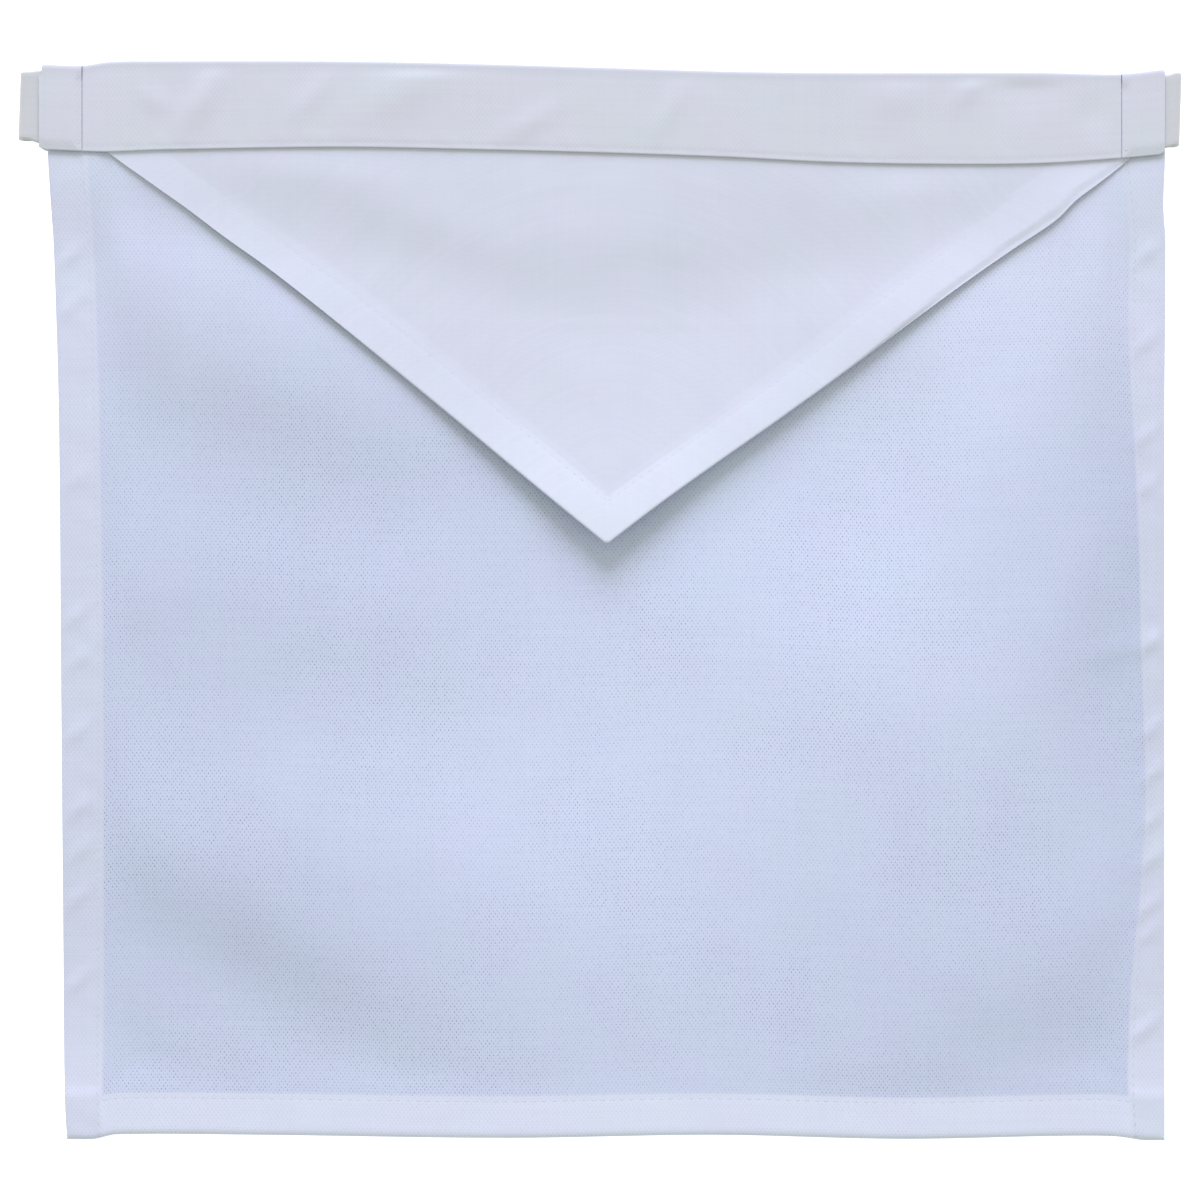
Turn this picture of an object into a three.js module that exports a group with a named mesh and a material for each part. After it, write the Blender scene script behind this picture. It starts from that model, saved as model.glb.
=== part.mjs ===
// A white canvas apron with a pointed flap, lying on its back on a table, its elastic belt folded behind it.
// Millimetres. X runs across the apron, Y from the bottom hem to the waist, Z up out of its front.
// While it is drawn, Y is 0 at the waistband's lower edge and X is 0 at the waistband's middle.

import * as THREE from "three";

// Cloth and belt
const clothThickness = 1.0;
const layerGap = 0.3; // air between two layers that lie on each other
const beltThickness = 1.2;
const beltWidth = 25.4;

// Waistband, with a stitched casing at each end
const waistLength = 392.7; // from one casing's mouth to the other's
const bandHeight = 30.5;
const casingLength = 15;
const seamGap = 0.3; // between the waistband and a casing
const seamAllowance = 4; // how far below the band's crease the panel and the flap end inside it
const beltStop = 4; // from the casing's inner seam to the belt's end
const beltPastLeft = 7.3; // how far the belt's fold stands out of the left casing
const beltPastRight = 6;

// Panel
const panelDrop = 344; // waistband's lower edge to the bottom hem
const panelShortLeft = 2.8; // from the left casing's mouth to the panel's edge
const panelPastRight = 0.4; // from the right casing's mouth out to the panel's edge
const sideTaper = 6.2; // how far the left side comes in on its way down
const bottomWander = 1.05;
const sideHemWidth = 14.3;
const bottomHemWidth = 14.3;
const waistRamp = 42; // the panel comes down from the waistband to the table in this length
const hemRamp = 36; // a hem's second layer comes to its full thickness this far below the waistband
const foldHeight = 2.6; // the highest soft fold

// Flap
const flapDepth = 135.9; // waistband's lower edge to the tip
const flapShortLeft = 8.55; // from the band's left seam to the flap's corner
const flapPastRight = 2.85; // from the band's right seam out to the flap's corner
const tipShift = 1.6; // from the waistband's middle to the tip
const tipWidth = 1.0;
const flapHemWidth = 12.6;
const edgeBow = 4.2; // how far a sloping edge wanders from a straight line
const tipLift = 4.4; // air under the tip
const flapFoldRamp = 12; // the flap's soft folds start in this length below the waistband

// How fine the faceting is
const foldRound = 0.35; // how much a pressed fold rounds off a layer's corner
const layerStep = 0.8; // width of the step where a hem's inner layer ends
const panelColumns = 22;
const panelRows = 25;
const flapColumns = 20;
const flapRows = 16;
const bandSections = 26;
const casingSections = 4;
const beltSections = 10;
const creaseSteps = 6;

// The waistband's two edges, from the left casing's mouth to the right one's. Heights are shares of bandHeight.
const waistEdges = [
  { at: 0.0, low: 0.046, top: 0.023 },
  { at: 0.038, low: 0.023, top: 0.011 },
  { at: 0.062, low: 0.017, top: 0.055 },
  { at: 0.112, low: 0.04, top: 0.063 },
  { at: 0.269, low: 0.069, top: 0.061 },
  { at: 0.389, low: 0.042, top: 0.031 },
  { at: 0.5, low: 0.005, top: -0.011 },
  { at: 0.61, low: -0.044, top: -0.054 },
  { at: 0.703, low: -0.103, top: -0.069 },
  { at: 0.795, low: -0.126, top: -0.069 },
  { at: 0.888, low: -0.118, top: -0.069 },
  { at: 0.962, low: -0.057, top: -0.086 },
  { at: 1.0, low: -0.011, top: -0.034 },
];

// The panel's sides, from the waist down. Shares of sideTaper.
const sideEdges = [
  { at: 0.0, left: 0.0, right: 0.0 },
  { at: 0.05, left: 0.13, right: -0.06 },
  { at: 0.09, left: 0.24, right: 0.11 },
  { at: 0.26, left: 0.52, right: 0.06 },
  { at: 0.55, left: 0.66, right: 0.06 },
  { at: 0.8, left: 0.78, right: 0.06 },
  { at: 0.95, left: 0.86, right: 0.06 },
  { at: 1.0, left: 1.0, right: 0.06 },
];

// The panel's bottom edge, from left to right. Drops are shares of bottomWander.
const bottomEdge = [
  { at: 0.0, drop: 0.67 },
  { at: 0.025, drop: 0.6 },
  { at: 0.045, drop: -0.85 },
  { at: 0.18, drop: -0.67 },
  { at: 0.4, drop: 0.33 },
  { at: 0.59, drop: -0.67 },
  { at: 0.76, drop: 0.67 },
  { at: 0.905, drop: -0.33 },
  { at: 0.955, drop: -0.2 },
  { at: 0.98, drop: 1.0 },
  { at: 1.0, drop: 1.0 },
];

// How wide the side hems are turned, from the waist down. Shares of sideHemWidth.
const sideHems = [
  { at: 0.0, left: 0.94, right: 1.03 },
  { at: 0.06, left: 0.955, right: 0.86 },
  { at: 0.17, left: 0.965, right: 0.88 },
  { at: 0.28, left: 0.975, right: 0.73 },
  { at: 0.4, left: 1.0, right: 0.6 },
  { at: 0.5, left: 1.02, right: 0.55 },
  { at: 0.65, left: 1.0, right: 0.445 },
  { at: 0.74, left: 0.98, right: 0.56 },
  { at: 0.83, left: 0.965, right: 0.77 },
  { at: 0.93, left: 0.92, right: 0.88 },
  { at: 1.0, left: 0.9, right: 0.82 },
];

// The soft folds, one ridge a row. Across, length and width are shares of waistLength, down is a share of
// panelDrop, turn is in degrees and height is a share of foldHeight.
const panelFolds = [
  { across: 0.14, down: 0.441, turn: -8, length: 0.346, width: 0.073, height: 0.63 },
  { across: 0.217, down: 0.786, turn: -31, length: 0.221, width: 0.053, height: 0.63 },
  { across: 0.879, down: 0.83, turn: 25, length: 0.187, width: 0.079, height: 0.88 },
  { across: 0.828, down: 0.238, turn: -74, length: 0.346, width: 0.073, height: 0.72 },
  { across: 0.018, down: 0.797, turn: -34, length: 0.344, width: 0.045, height: 0.43 },
  { across: 0.612, down: 0.28, turn: 27, length: 0.284, width: 0.042, height: 0.33 },
  { across: 0.083, down: 0.115, turn: -24, length: 0.242, width: 0.054, height: 1.0 },
  { across: 0.949, down: 0.968, turn: -1, length: 0.345, width: 0.026, height: 0.3 },
  { across: 0.954, down: 0.41, turn: 58, length: 0.149, width: 0.057, height: 0.78 },
  { across: 0.306, down: 0.76, turn: -21, length: 0.302, width: 0.094, height: 0.89 },
  { across: 0.939, down: 0.174, turn: 60, length: 0.346, width: 0.077, height: 0.94 },
  { across: 0.713, down: 0.514, turn: -29, length: 0.205, width: 0.096, height: 0.65 },
  { across: 0.167, down: 0.228, turn: -21, length: 0.166, width: 0.049, height: 0.64 },
];
const flapFolds = [
  { across: 0.485, down: 0.092, turn: -3, length: 0.154, width: 0.046, height: 0.72 },
  { across: 0.703, down: 0.171, turn: 18, length: 0.095, width: 0.044, height: 0.6 },
  { across: 0.327, down: 0.056, turn: -25, length: 0.292, width: 0.029, height: 0.18 },
  { across: 0.742, down: 0.181, turn: 36, length: 0.409, width: 0.027, height: 0.38 },
  { across: 0.326, down: 0.159, turn: -16, length: 0.409, width: 0.044, height: 0.3 },
  { across: 0.769, down: 0.037, turn: 19, length: 0.058, width: 0.027, height: 0.16 },
  { across: 0.495, down: 0.326, turn: 3, length: 0.08, width: 0.109, height: 0.62 },
];

// The flap's sloping edges, from its corners to its tip. Shares of edgeBow, positive towards the middle.
const flapEdges = [
  { at: 0.0, left: 0.05, right: -0.14 },
  { at: 0.03, left: 0.07, right: -0.14 },
  { at: 0.06, left: 0.14, right: -0.05 },
  { at: 0.1, left: 0.23, right: 0.07 },
  { at: 0.15, left: 0.43, right: -0.45 },
  { at: 0.22, left: 0.53, right: -0.17 },
  { at: 0.3, left: 0.91, right: -0.08 },
  { at: 0.42, left: 1.06, right: -0.23 },
  { at: 0.54, left: 0.97, right: -0.46 },
  { at: 0.68, left: 0.72, right: -0.34 },
  { at: 0.8, left: 0.42, right: -0.04 },
  { at: 0.9, left: 0.18, right: 0.1 },
  { at: 1.0, left: 0.0, right: 0.0 },
];

const halfWaist = waistLength / 2;
const seamX = halfWaist - casingLength;
const hemThickness = 2 * clothThickness;

// Levels of the layers under the waistband, from the table up
const backLeafBottom = beltThickness + layerGap;
const sewnPanelTop = backLeafBottom + clothThickness + layerGap + clothThickness;
const flapOverPanel = layerGap + clothThickness;
const bandFrontBottom = sewnPanelTop + flapOverPanel + layerGap;
const beltFrontBottom = sewnPanelTop + layerGap;
const casingFrontBottom = beltFrontBottom + beltThickness + layerGap;

const { lerp, clamp, smoothstep, degToRad } = THREE.MathUtils;

/** A column's value on a smooth curve through a table's rows, at a share of the table's run. */
function readTable(table, column, at) {
  const last = table.length - 1;
  let row = 0;
  while (row < last - 1 && table[row + 1].at < at) row += 1;
  const slopeAt = (k) => {
    const before = table[Math.max(k - 1, 0)];
    const after = table[Math.min(k + 1, last)];
    return (after[column] - before[column]) / (after.at - before.at);
  };
  const from = table[row];
  const to = table[row + 1];
  const span = to.at - from.at;
  const t = clamp((at - from.at) / span, 0, 1);
  const ease = t * t * (3 - 2 * t);
  const leave = t * (1 - t) * (1 - t) * span * slopeAt(row);
  const arrive = t * t * (t - 1) * span * slopeAt(row + 1);
  return lerp(from[column], to[column], ease) + leave + arrive;
}

const waistShare = (x) => clamp((x + halfWaist) / waistLength, 0, 1);
const waistLow = (x) => bandHeight * readTable(waistEdges, "low", waistShare(x));
const waistTop = (x) => bandHeight * (1 + readTable(waistEdges, "top", waistShare(x)));

const dropShare = (y) => clamp(-y / panelDrop, 0, 1);
const panelLeft = (y) =>
  -halfWaist + panelShortLeft + sideTaper * readTable(sideEdges, "left", dropShare(y));
const panelRight = (y) =>
  halfWaist + panelPastRight + sideTaper * readTable(sideEdges, "right", dropShare(y));

/** Share of the way across the panel, at a height. */
function panelShare(x, y) {
  const left = panelLeft(y);
  return clamp((x - left) / (panelRight(y) - left), 0, 1);
}

const panelBottom = (x) =>
  -panelDrop - bottomWander * readTable(bottomEdge, "drop", panelShare(x, -panelDrop));

/** How wide one of the panel's side hems is turned, at a height. Side is "left" or "right". */
const sideHem = (side, y) => sideHemWidth * readTable(sideHems, side, dropShare(y));

/** Height of a table's soft folds at a place, all added up. */
function foldsAt(folds, x, y) {
  let height = 0;
  for (const fold of folds) {
    const dx = x + halfWaist - fold.across * waistLength;
    const dy = y + fold.down * panelDrop;
    const turn = degToRad(fold.turn);
    const along = (dx * Math.cos(turn) + dy * Math.sin(turn)) / (fold.length * waistLength);
    const beside = (dy * Math.cos(turn) - dx * Math.sin(turn)) / (fold.width * waistLength);
    height += foldHeight * fold.height * Math.exp(-(along ** 2) - beside ** 2);
  }
  return height;
}

/** Distance from the inner edge of the panel's nearest hem, into the single cloth. */
function panelHemDistance(x, y) {
  const fromLeft = x - panelLeft(y) - sideHem("left", y);
  const fromRight = panelRight(y) - x - sideHem("right", y);
  return Math.min(fromLeft, fromRight, y - panelBottom(x) - bottomHemWidth);
}

/** Height of the panel's front face over the table. */
function panelTop(x, y) {
  const field = smoothstep(panelHemDistance(x, y), 0, sideHemWidth);
  const free = smoothstep(waistLow(x) - y, 0, waistRamp);
  const settled = hemThickness + field * (foldsAt(panelFolds, x, y) - 0.9 * clothThickness);
  return lerp(sewnPanelTop, Math.max(settled, clothThickness), free);
}

/** 1 where a hem's second layer is at its full thickness, 0 where it has run out at the waistband. */
const hemShareBelowWaist = (x, y) => smoothstep(waistLow(x) - y, 0.04 * hemRamp, hemRamp);

/** Closes rings of points into one solid. In a ring, the second half runs back over the first. */
function loft(rings) {
  const count = rings[0].length;
  const corner = (ring, k) => ring * count + (k % count);
  const quads = [];
  for (let ring = 0; ring < rings.length - 1; ring += 1)
    for (let k = 0; k < count; k += 1)
      quads.push([
        corner(ring, k),
        corner(ring, k + 1),
        corner(ring + 1, k + 1),
        corner(ring + 1, k),
      ]);
  const lastRing = rings.length - 1;
  for (let k = 0; k < count / 2 - 1; k += 1) {
    const [a, b, c, d] = [k, k + 1, count - 2 - k, count - 1 - k];
    quads.push([corner(0, d), corner(0, c), corner(0, b), corner(0, a)]);
    quads.push([corner(lastRing, a), corner(lastRing, b), corner(lastRing, c), corner(lastRing, d)]);
  }
  const geometry = new THREE.BufferGeometry();
  const points = rings.flat();
  geometry.setAttribute(
    "position",
    new THREE.Float32BufferAttribute(points.flatMap((p) => [p.x, p.y, p.z]), 3),
  );
  geometry.setIndex(quads.flatMap(([a, b, c, d]) => [a, b, c, a, c, d]));
  geometry.computeVertexNormals();
  return geometry;
}

/** Even steps between two positions, both ends left out. */
const stepsBetween = (from, to, count) =>
  Array.from({ length: count - 1 }, (_, k) => lerp(from, to, (k + 1) / count));

/**
 * Positions across a cloth with a hem along both sides, in order. The first four and the last four are the
 * edge, its rounding, the hem's inner edge and the foot of the step there.
 */
function acrossHems(left, right, hemLeft, hemRight, columns) {
  const squeeze = Math.min(1, (0.49 * (right - left)) / (Math.max(hemLeft, hemRight) + layerStep));
  const near = [0, foldRound, hemLeft, hemLeft + layerStep].map((d) => left + d * squeeze);
  const far = [hemRight + layerStep, hemRight, foldRound, 0].map((d) => right - d * squeeze);
  return [...near, ...stepsBetween(near.at(-1), far[0], columns), ...far];
}

/**
 * A hemmed cloth's solid. Each row lists its places from left to right: x, y, whether the hem's second layer
 * is there and whether it is on the cloth's edge. frontAt gives the height of the front face.
 */
function clothGeometry(rows, frontAt) {
  const rings = rows.map((places) => {
    const front = [];
    const back = [];
    for (const { x, y, isHem, isEdge } of places) {
      const top = frontAt(x, y);
      const thickness = clothThickness * (1 + (isHem ? hemShareBelowWaist(x, y) : 0));
      const round = isEdge ? foldRound : 0;
      front.push(new THREE.Vector3(x, y, top - round));
      back.push(new THREE.Vector3(x, y, top - thickness + round));
    }
    return [...front, ...back.reverse()];
  });
  return loft(rings);
}

/** A row of places across a cloth. The hem's layer covers the first and last three, or the whole row. */
function placesAcross(xs, heightAt, isHemRow, isEdgeRow) {
  return xs.map((x, column) => {
    const fromSide = Math.min(column, xs.length - 1 - column);
    const isHem = isHemRow || fromSide < 3;
    return { x, y: heightAt(x), isHem, isEdge: isEdgeRow || fromSide === 0 };
  });
}

/** The rows of a cloth's seam allowance inside the waistband, as shares of the way up to its raw edge. */
const bandRows = [0.35, 1];
const heightInBand = (x, share) => lerp(waistLow(x), waistTop(x) - seamAllowance, share);

/** The main panel, with its side and bottom hems turned to the back and pressed flat. */
function panelGeometry() {
  const hemRows = [0, foldRound, bottomHemWidth, bottomHemWidth + layerStep];
  const fieldRows = [...stepsBetween(hemRows.at(-1), panelDrop, panelRows), panelDrop];
  const across = (y) =>
    acrossHems(panelLeft(y), panelRight(y), sideHem("left", y), sideHem("right", y), panelColumns);
  const hanging = [...hemRows, ...fieldRows].map((up, row) => {
    const share = up / panelDrop;
    const heightAt = (x) => lerp(panelBottom(x), waistLow(x), share);
    return placesAcross(across(up - panelDrop), heightAt, row < 3, row === 0);
  });
  const sewn = bandRows.map((share) => placesAcross(across(0), (x) => heightInBand(x, share)));
  return clothGeometry([...hanging, ...sewn], panelTop);
}

const flapLeftCorner = -seamX + flapShortLeft;
const flapRightCorner = seamX + flapPastRight;

/** Where a sloping edge of the flap is, at a share of its depth. Side is "left" or "right". */
function flapEdge(side, share) {
  const [corner, inwards] = side === "left" ? [flapLeftCorner, 1] : [flapRightCorner, -1];
  const tip = tipShift - (inwards * tipWidth) / 2;
  return lerp(corner, tip, share) + inwards * edgeBow * readTable(flapEdges, side, share);
}

/** How far the flap stands off the panel, beyond where it would lie flat on it. */
function flapLift(x, y) {
  const atTip = tipLift * smoothstep(-y / flapDepth, 0.3, 1.05);
  const free = smoothstep(waistLow(x) - y, 0, flapFoldRamp);
  return free * (atTip + foldsAt(flapFolds, x, y));
}

/** Height of the flap's front face over the table. */
function flapTop(x, y) {
  const overHem = clothThickness * hemShareBelowWaist(x, y);
  return panelTop(x, y) + flapOverPanel + overHem + flapLift(x, y);
}

/** The pointed flap, with its two sloping edges turned to the back and pressed flat. */
function flapGeometry() {
  const slopeLeft = Math.atan2(flapDepth, tipShift - flapLeftCorner);
  const slopeRight = Math.atan2(flapDepth, flapRightCorner - tipShift);
  const hemLeft = flapHemWidth / Math.sin(slopeLeft);
  const hemRight = flapHemWidth / Math.sin(slopeRight);
  const hemRise = flapHemWidth / Math.cos((slopeLeft + slopeRight) / 2);
  const across = (share) =>
    acrossHems(flapEdge("left", share), flapEdge("right", share), hemLeft, hemRight, flapColumns);
  const hemRows = [0, 0.12 * hemRise, 0.35 * hemRise, 0.7 * hemRise, hemRise, hemRise + layerStep];
  const fieldRows = [...stepsBetween(hemRows.at(-1), flapDepth, flapRows), flapDepth];
  const hanging = [...hemRows, ...fieldRows].map((up, row) => {
    const share = up / flapDepth;
    const heightAt = (x) => up - flapDepth + waistLow(x) * smoothstep(share, 0.4, 1);
    return placesAcross(across(1 - share), heightAt, row < 5, row === 0);
  });
  const sewn = bandRows.map((share) => placesAcross(across(0), (x) => heightInBand(x, share)));
  return clothGeometry([...hanging, ...sewn], flapTop);
}

/** A strip of cloth folded over a crease at the waist, as a closed ring at one place along it. */
function creasedRing(x, frontBottom) {
  const frontTop = frontBottom + clothThickness;
  const outer = (frontTop - backLeafBottom) / 2;
  const inner = outer - clothThickness;
  const middle = backLeafBottom + outer;
  const low = waistLow(x);
  const creaseY = waistTop(x) - outer;
  const point = (y, z) => new THREE.Vector3(x, y, z);
  const side = (radius, round) => {
    const points = [point(low, middle + radius - round), point(low + foldRound, middle + radius)];
    points.push(point(lerp(low, creaseY, 0.5), middle + radius));
    for (let k = 0; k <= creaseSteps; k += 1) {
      const turn = Math.PI * (0.5 - k / creaseSteps);
      points.push(point(creaseY + radius * Math.cos(turn), middle + radius * Math.sin(turn)));
    }
    points.push(point(lerp(low, creaseY, 0.5), middle - radius));
    points.push(point(low + foldRound, middle - radius), point(low, middle - radius + round));
    return points;
  };
  return [...side(outer, foldRound), ...side(inner, -foldRound).reverse()];
}

/** A length of creased strip between two places along the waist. */
function creasedGeometry(from, to, sections, frontBottom) {
  const rings = Array.from({ length: sections + 1 }, (_, k) =>
    creasedRing(lerp(to, from, k / sections), frontBottom),
  );
  return loft(rings);
}

/** The elastic belt: from inside one casing, folded behind, across the back and into the other casing. */
function beltGeometry() {
  const outer = (beltFrontBottom + beltThickness) / 2;
  const reachLeft = -halfWaist - beltPastLeft;
  const reachRight = halfWaist + beltPastRight;
  const middleAt = (x) => (waistLow(x) + waistTop(x)) / 2;
  const straightAt = (x) => lerp(middleAt(-halfWaist), middleAt(halfWaist), waistShare(x));
  const side = (radius) => {
    const inCasing = (x) => new THREE.Vector3(x, middleAt(x), outer + radius);
    const behind = (x, z) => new THREE.Vector3(x, straightAt(x), z);
    const fold = (centre, degrees) => {
      const turn = degToRad(degrees);
      return behind(centre + radius * Math.cos(turn), outer + radius * Math.sin(turn));
    };
    const foldLeft = reachLeft + outer;
    const foldRight = reachRight - outer;
    const bends = Array.from({ length: creaseSteps + 1 }, (_, k) => (180 * k) / creaseSteps);
    const runs = Array.from({ length: beltSections - 1 }, (_, k) => (k + 1) / beltSections);
    return [
      inCasing(-seamX - beltStop),
      inCasing(-halfWaist),
      ...bends.map((degrees) => fold(foldLeft, 90 + degrees)),
      ...runs.map((share) => behind(lerp(foldLeft, foldRight, share), outer - radius)),
      ...bends.map((degrees) => fold(foldRight, degrees - 90)),
      inCasing(halfWaist),
      inCasing(seamX + beltStop),
    ];
  };
  const outline = [...side(outer), ...side(outer - beltThickness).reverse()];
  const edges = [beltWidth / 2, 0, -beltWidth / 2];
  return loft(edges.map((edge) => outline.map((p) => new THREE.Vector3(p.x, p.y + edge, p.z))));
}

const canvas = { color: 0xccd6f0, roughness: 0.9, metalness: 0 };
const bandCanvas = { color: 0xd2d5e3, roughness: 0.88, metalness: 0 };
const elastic = { color: 0xc9cdd3, roughness: 0.75, metalness: 0 };

const apron = new THREE.Group();

function add(name, geometry, finish) {
  const mesh = new THREE.Mesh(geometry, new THREE.MeshStandardMaterial(finish));
  mesh.name = name;
  apron.add(mesh);
}

add("apron_panel", panelGeometry(), canvas);
add("flap", flapGeometry(), canvas);
add(
  "waistband",
  creasedGeometry(-seamX + seamGap / 2, seamX - seamGap / 2, bandSections, bandFrontBottom),
  bandCanvas,
);
add(
  "end_casing_left",
  creasedGeometry(-halfWaist, -seamX - seamGap / 2, casingSections, casingFrontBottom),
  bandCanvas,
);
add(
  "end_casing_right",
  creasedGeometry(seamX + seamGap / 2, halfWaist, casingSections, casingFrontBottom),
  bandCanvas,
);
add("elastic_belt", beltGeometry(), elastic);

// The origin is under the middle of the whole apron, on the table.
const extent = new THREE.Box3().setFromObject(apron);
const middle = extent.getCenter(new THREE.Vector3());
apron.position.set(-middle.x, -middle.y, -extent.min.z);

export default apron;
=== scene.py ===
"""A white canvas lodge apron lying flat on a table, seen from straight above.

Sizes are in millimetres. X runs across the apron, Y from the bottom hem to the waist and Z up out of its
front. While a piece is worked out, Y is 0 at the waistband's lower edge. Meshes are made in metres, in the
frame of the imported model.
"""

import json
import logging
import math
from collections.abc import Sequence
from dataclasses import dataclass, replace
from enum import Enum

import bpy
import numpy as np
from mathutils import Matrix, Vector


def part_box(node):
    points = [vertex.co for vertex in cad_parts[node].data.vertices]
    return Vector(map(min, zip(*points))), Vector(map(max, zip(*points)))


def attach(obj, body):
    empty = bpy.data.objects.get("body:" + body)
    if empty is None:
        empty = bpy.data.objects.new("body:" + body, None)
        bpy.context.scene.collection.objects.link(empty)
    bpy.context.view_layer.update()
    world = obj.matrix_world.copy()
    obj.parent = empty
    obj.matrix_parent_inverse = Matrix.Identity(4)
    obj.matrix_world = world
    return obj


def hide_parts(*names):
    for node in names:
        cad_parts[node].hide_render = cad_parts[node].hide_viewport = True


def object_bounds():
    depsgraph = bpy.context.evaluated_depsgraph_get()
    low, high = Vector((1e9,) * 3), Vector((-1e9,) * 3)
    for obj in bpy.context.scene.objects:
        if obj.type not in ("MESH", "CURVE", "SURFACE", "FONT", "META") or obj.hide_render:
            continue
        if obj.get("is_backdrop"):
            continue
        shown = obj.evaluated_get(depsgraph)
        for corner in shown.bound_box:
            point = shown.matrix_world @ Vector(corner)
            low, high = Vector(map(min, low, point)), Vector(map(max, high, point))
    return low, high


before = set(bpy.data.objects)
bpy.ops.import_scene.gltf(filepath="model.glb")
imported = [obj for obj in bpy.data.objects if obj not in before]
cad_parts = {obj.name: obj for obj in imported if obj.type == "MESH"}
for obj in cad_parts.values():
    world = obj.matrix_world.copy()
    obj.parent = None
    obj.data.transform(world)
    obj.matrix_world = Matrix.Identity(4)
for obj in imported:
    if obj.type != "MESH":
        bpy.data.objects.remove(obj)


LOG = logging.getLogger("apron")
MM = 0.001
Grid = np.ndarray
Colour = tuple[float, float, float]
INTO_BAND = np.array([0.12, 0.5, 1.0])


class Slot(Enum):
    """The record's material slots."""

    PANEL = "panel_canvas"
    FLAP = "flap_canvas"
    BAND = "band_canvas"
    ELASTIC = "elastic"


# Small maths


def smoothstep(value: Grid | float, low: float, high: float) -> Grid:
    """Eases from 0 to 1 while the value goes from low to high."""
    share = np.clip((np.asarray(value, float) - low) / (high - low), 0.0, 1.0)
    return share * share * (3.0 - 2.0 * share)


def mix(start: Grid | float, end: Grid | float, share: Grid | float) -> Grid:
    """Goes from start to end by a share."""
    return np.asarray(start) + (np.asarray(end) - np.asarray(start)) * share


def bump(value: Grid, width: float) -> Grid:
    """A soft ridge, 1 high where value is 0 and gone two widths away."""
    return np.exp(-((value / width) ** 2))


@dataclass(frozen=True)
class Curve:
    """A smooth line through given stations.

    Attributes:
        at: where each station is, from 0 to 1.
        value: the line's value at each station.
    """

    at: tuple[float, ...]
    value: tuple[float, ...]

    def __call__(self, where: Grid | float) -> Grid:
        """Reads the line.

        Args:
            where: shares of the line's run.

        Returns:
            The line's values there.
        """
        at, value = np.asarray(self.at), np.asarray(self.value)
        last = len(at) - 1
        before = np.maximum(np.arange(last + 1) - 1, 0)
        after = np.minimum(np.arange(last + 1) + 1, last)
        slope = (value[after] - value[before]) / (at[after] - at[before])
        where = np.clip(np.asarray(where, float), at[0], at[-1])
        row = np.clip(np.searchsorted(at, where, side="left") - 1, 0, last - 1)
        span = at[row + 1] - at[row]
        t = (where - at[row]) / span
        eased = mix(value[row], value[row + 1], t * t * (3.0 - 2.0 * t))
        leave = t * (1.0 - t) ** 2 * span * slope[row]
        arrive = t * t * (t - 1.0) * span * slope[row + 1]
        return eased + leave + arrive


def turned(dx: Grid, dy: Grid, degrees: float) -> tuple[Grid, Grid]:
    """Distances along and beside a line that is turned from +X."""
    turn = math.radians(degrees)
    return dx * math.cos(turn) + dy * math.sin(turn), dy * math.cos(turn) - dx * math.sin(turn)


def ripple(along: Grid, pitch: float, seed: float) -> Grid:
    """An uneven row of soft puckers.

    Args:
        along: distance along the row.
        pitch: usual distance between two puckers.
        seed: shifts the row, so that no two are alike.

    Returns:
        Their height, from 0 to 1.
    """
    turn = 2.0 * np.pi * along / pitch
    wave = np.sin(turn + seed + 0.9 * np.sin(0.31 * turn + 2.0 * seed))
    swell = 0.62 + 0.38 * np.sin(0.23 * turn + 3.0 * seed)
    return (0.5 + 0.5 * wave) * swell


def ruled(guides: Sequence[Grid | float], counts: Sequence[int]) -> Grid:
    """Runs lines between guide lines.

    Args:
        guides: the places of the guide lines, one number or one value a row each.
        counts: how many steps lie between each guide and the next.

    Returns:
        The places of all the lines, guides included, along the last axis.
    """
    lines = []
    for start, end, count in zip(guides[:-1], guides[1:], counts):
        lines += [mix(start, end, step / count) for step in range(count)]
    lines.append(np.asarray(guides[-1], float))
    return np.stack(np.broadcast_arrays(*lines), axis=-1)


# The apron's shape


@dataclass(frozen=True)
class Layers:
    """How thick the layers are, and at what height they lie where they are sewn together."""

    cloth: float = 1.0
    gap: float = 0.3
    pressed_gap: float = 0.05
    belt: float = 1.2

    @property
    def hem(self) -> float:
        """Thickness of a turned hem."""
        return 2.0 * self.cloth

    @property
    def back_leaf(self) -> float:
        """Underside of the waistband's back leaf."""
        return self.belt + self.gap

    @property
    def panel_top(self) -> float:
        """Front of the panel inside the waistband."""
        return self.back_leaf + 2.0 * self.cloth + self.gap

    @property
    def band_front(self) -> float:
        """Underside of the waistband's front leaf."""
        return self.panel_top + self.cloth + self.pressed_gap

    @property
    def belt_front(self) -> float:
        """Underside of the elastic inside a casing."""
        return self.panel_top + self.gap

    @property
    def casing_front(self) -> float:
        """Underside of a casing's front leaf."""
        return self.belt_front + self.belt + self.gap


LAYERS = Layers()
BAND_STATIONS = (0.0, 0.038, 0.062, 0.112, 0.269, 0.389, 0.5, 0.61, 0.703, 0.795, 0.888, 0.962, 1.0)


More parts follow.
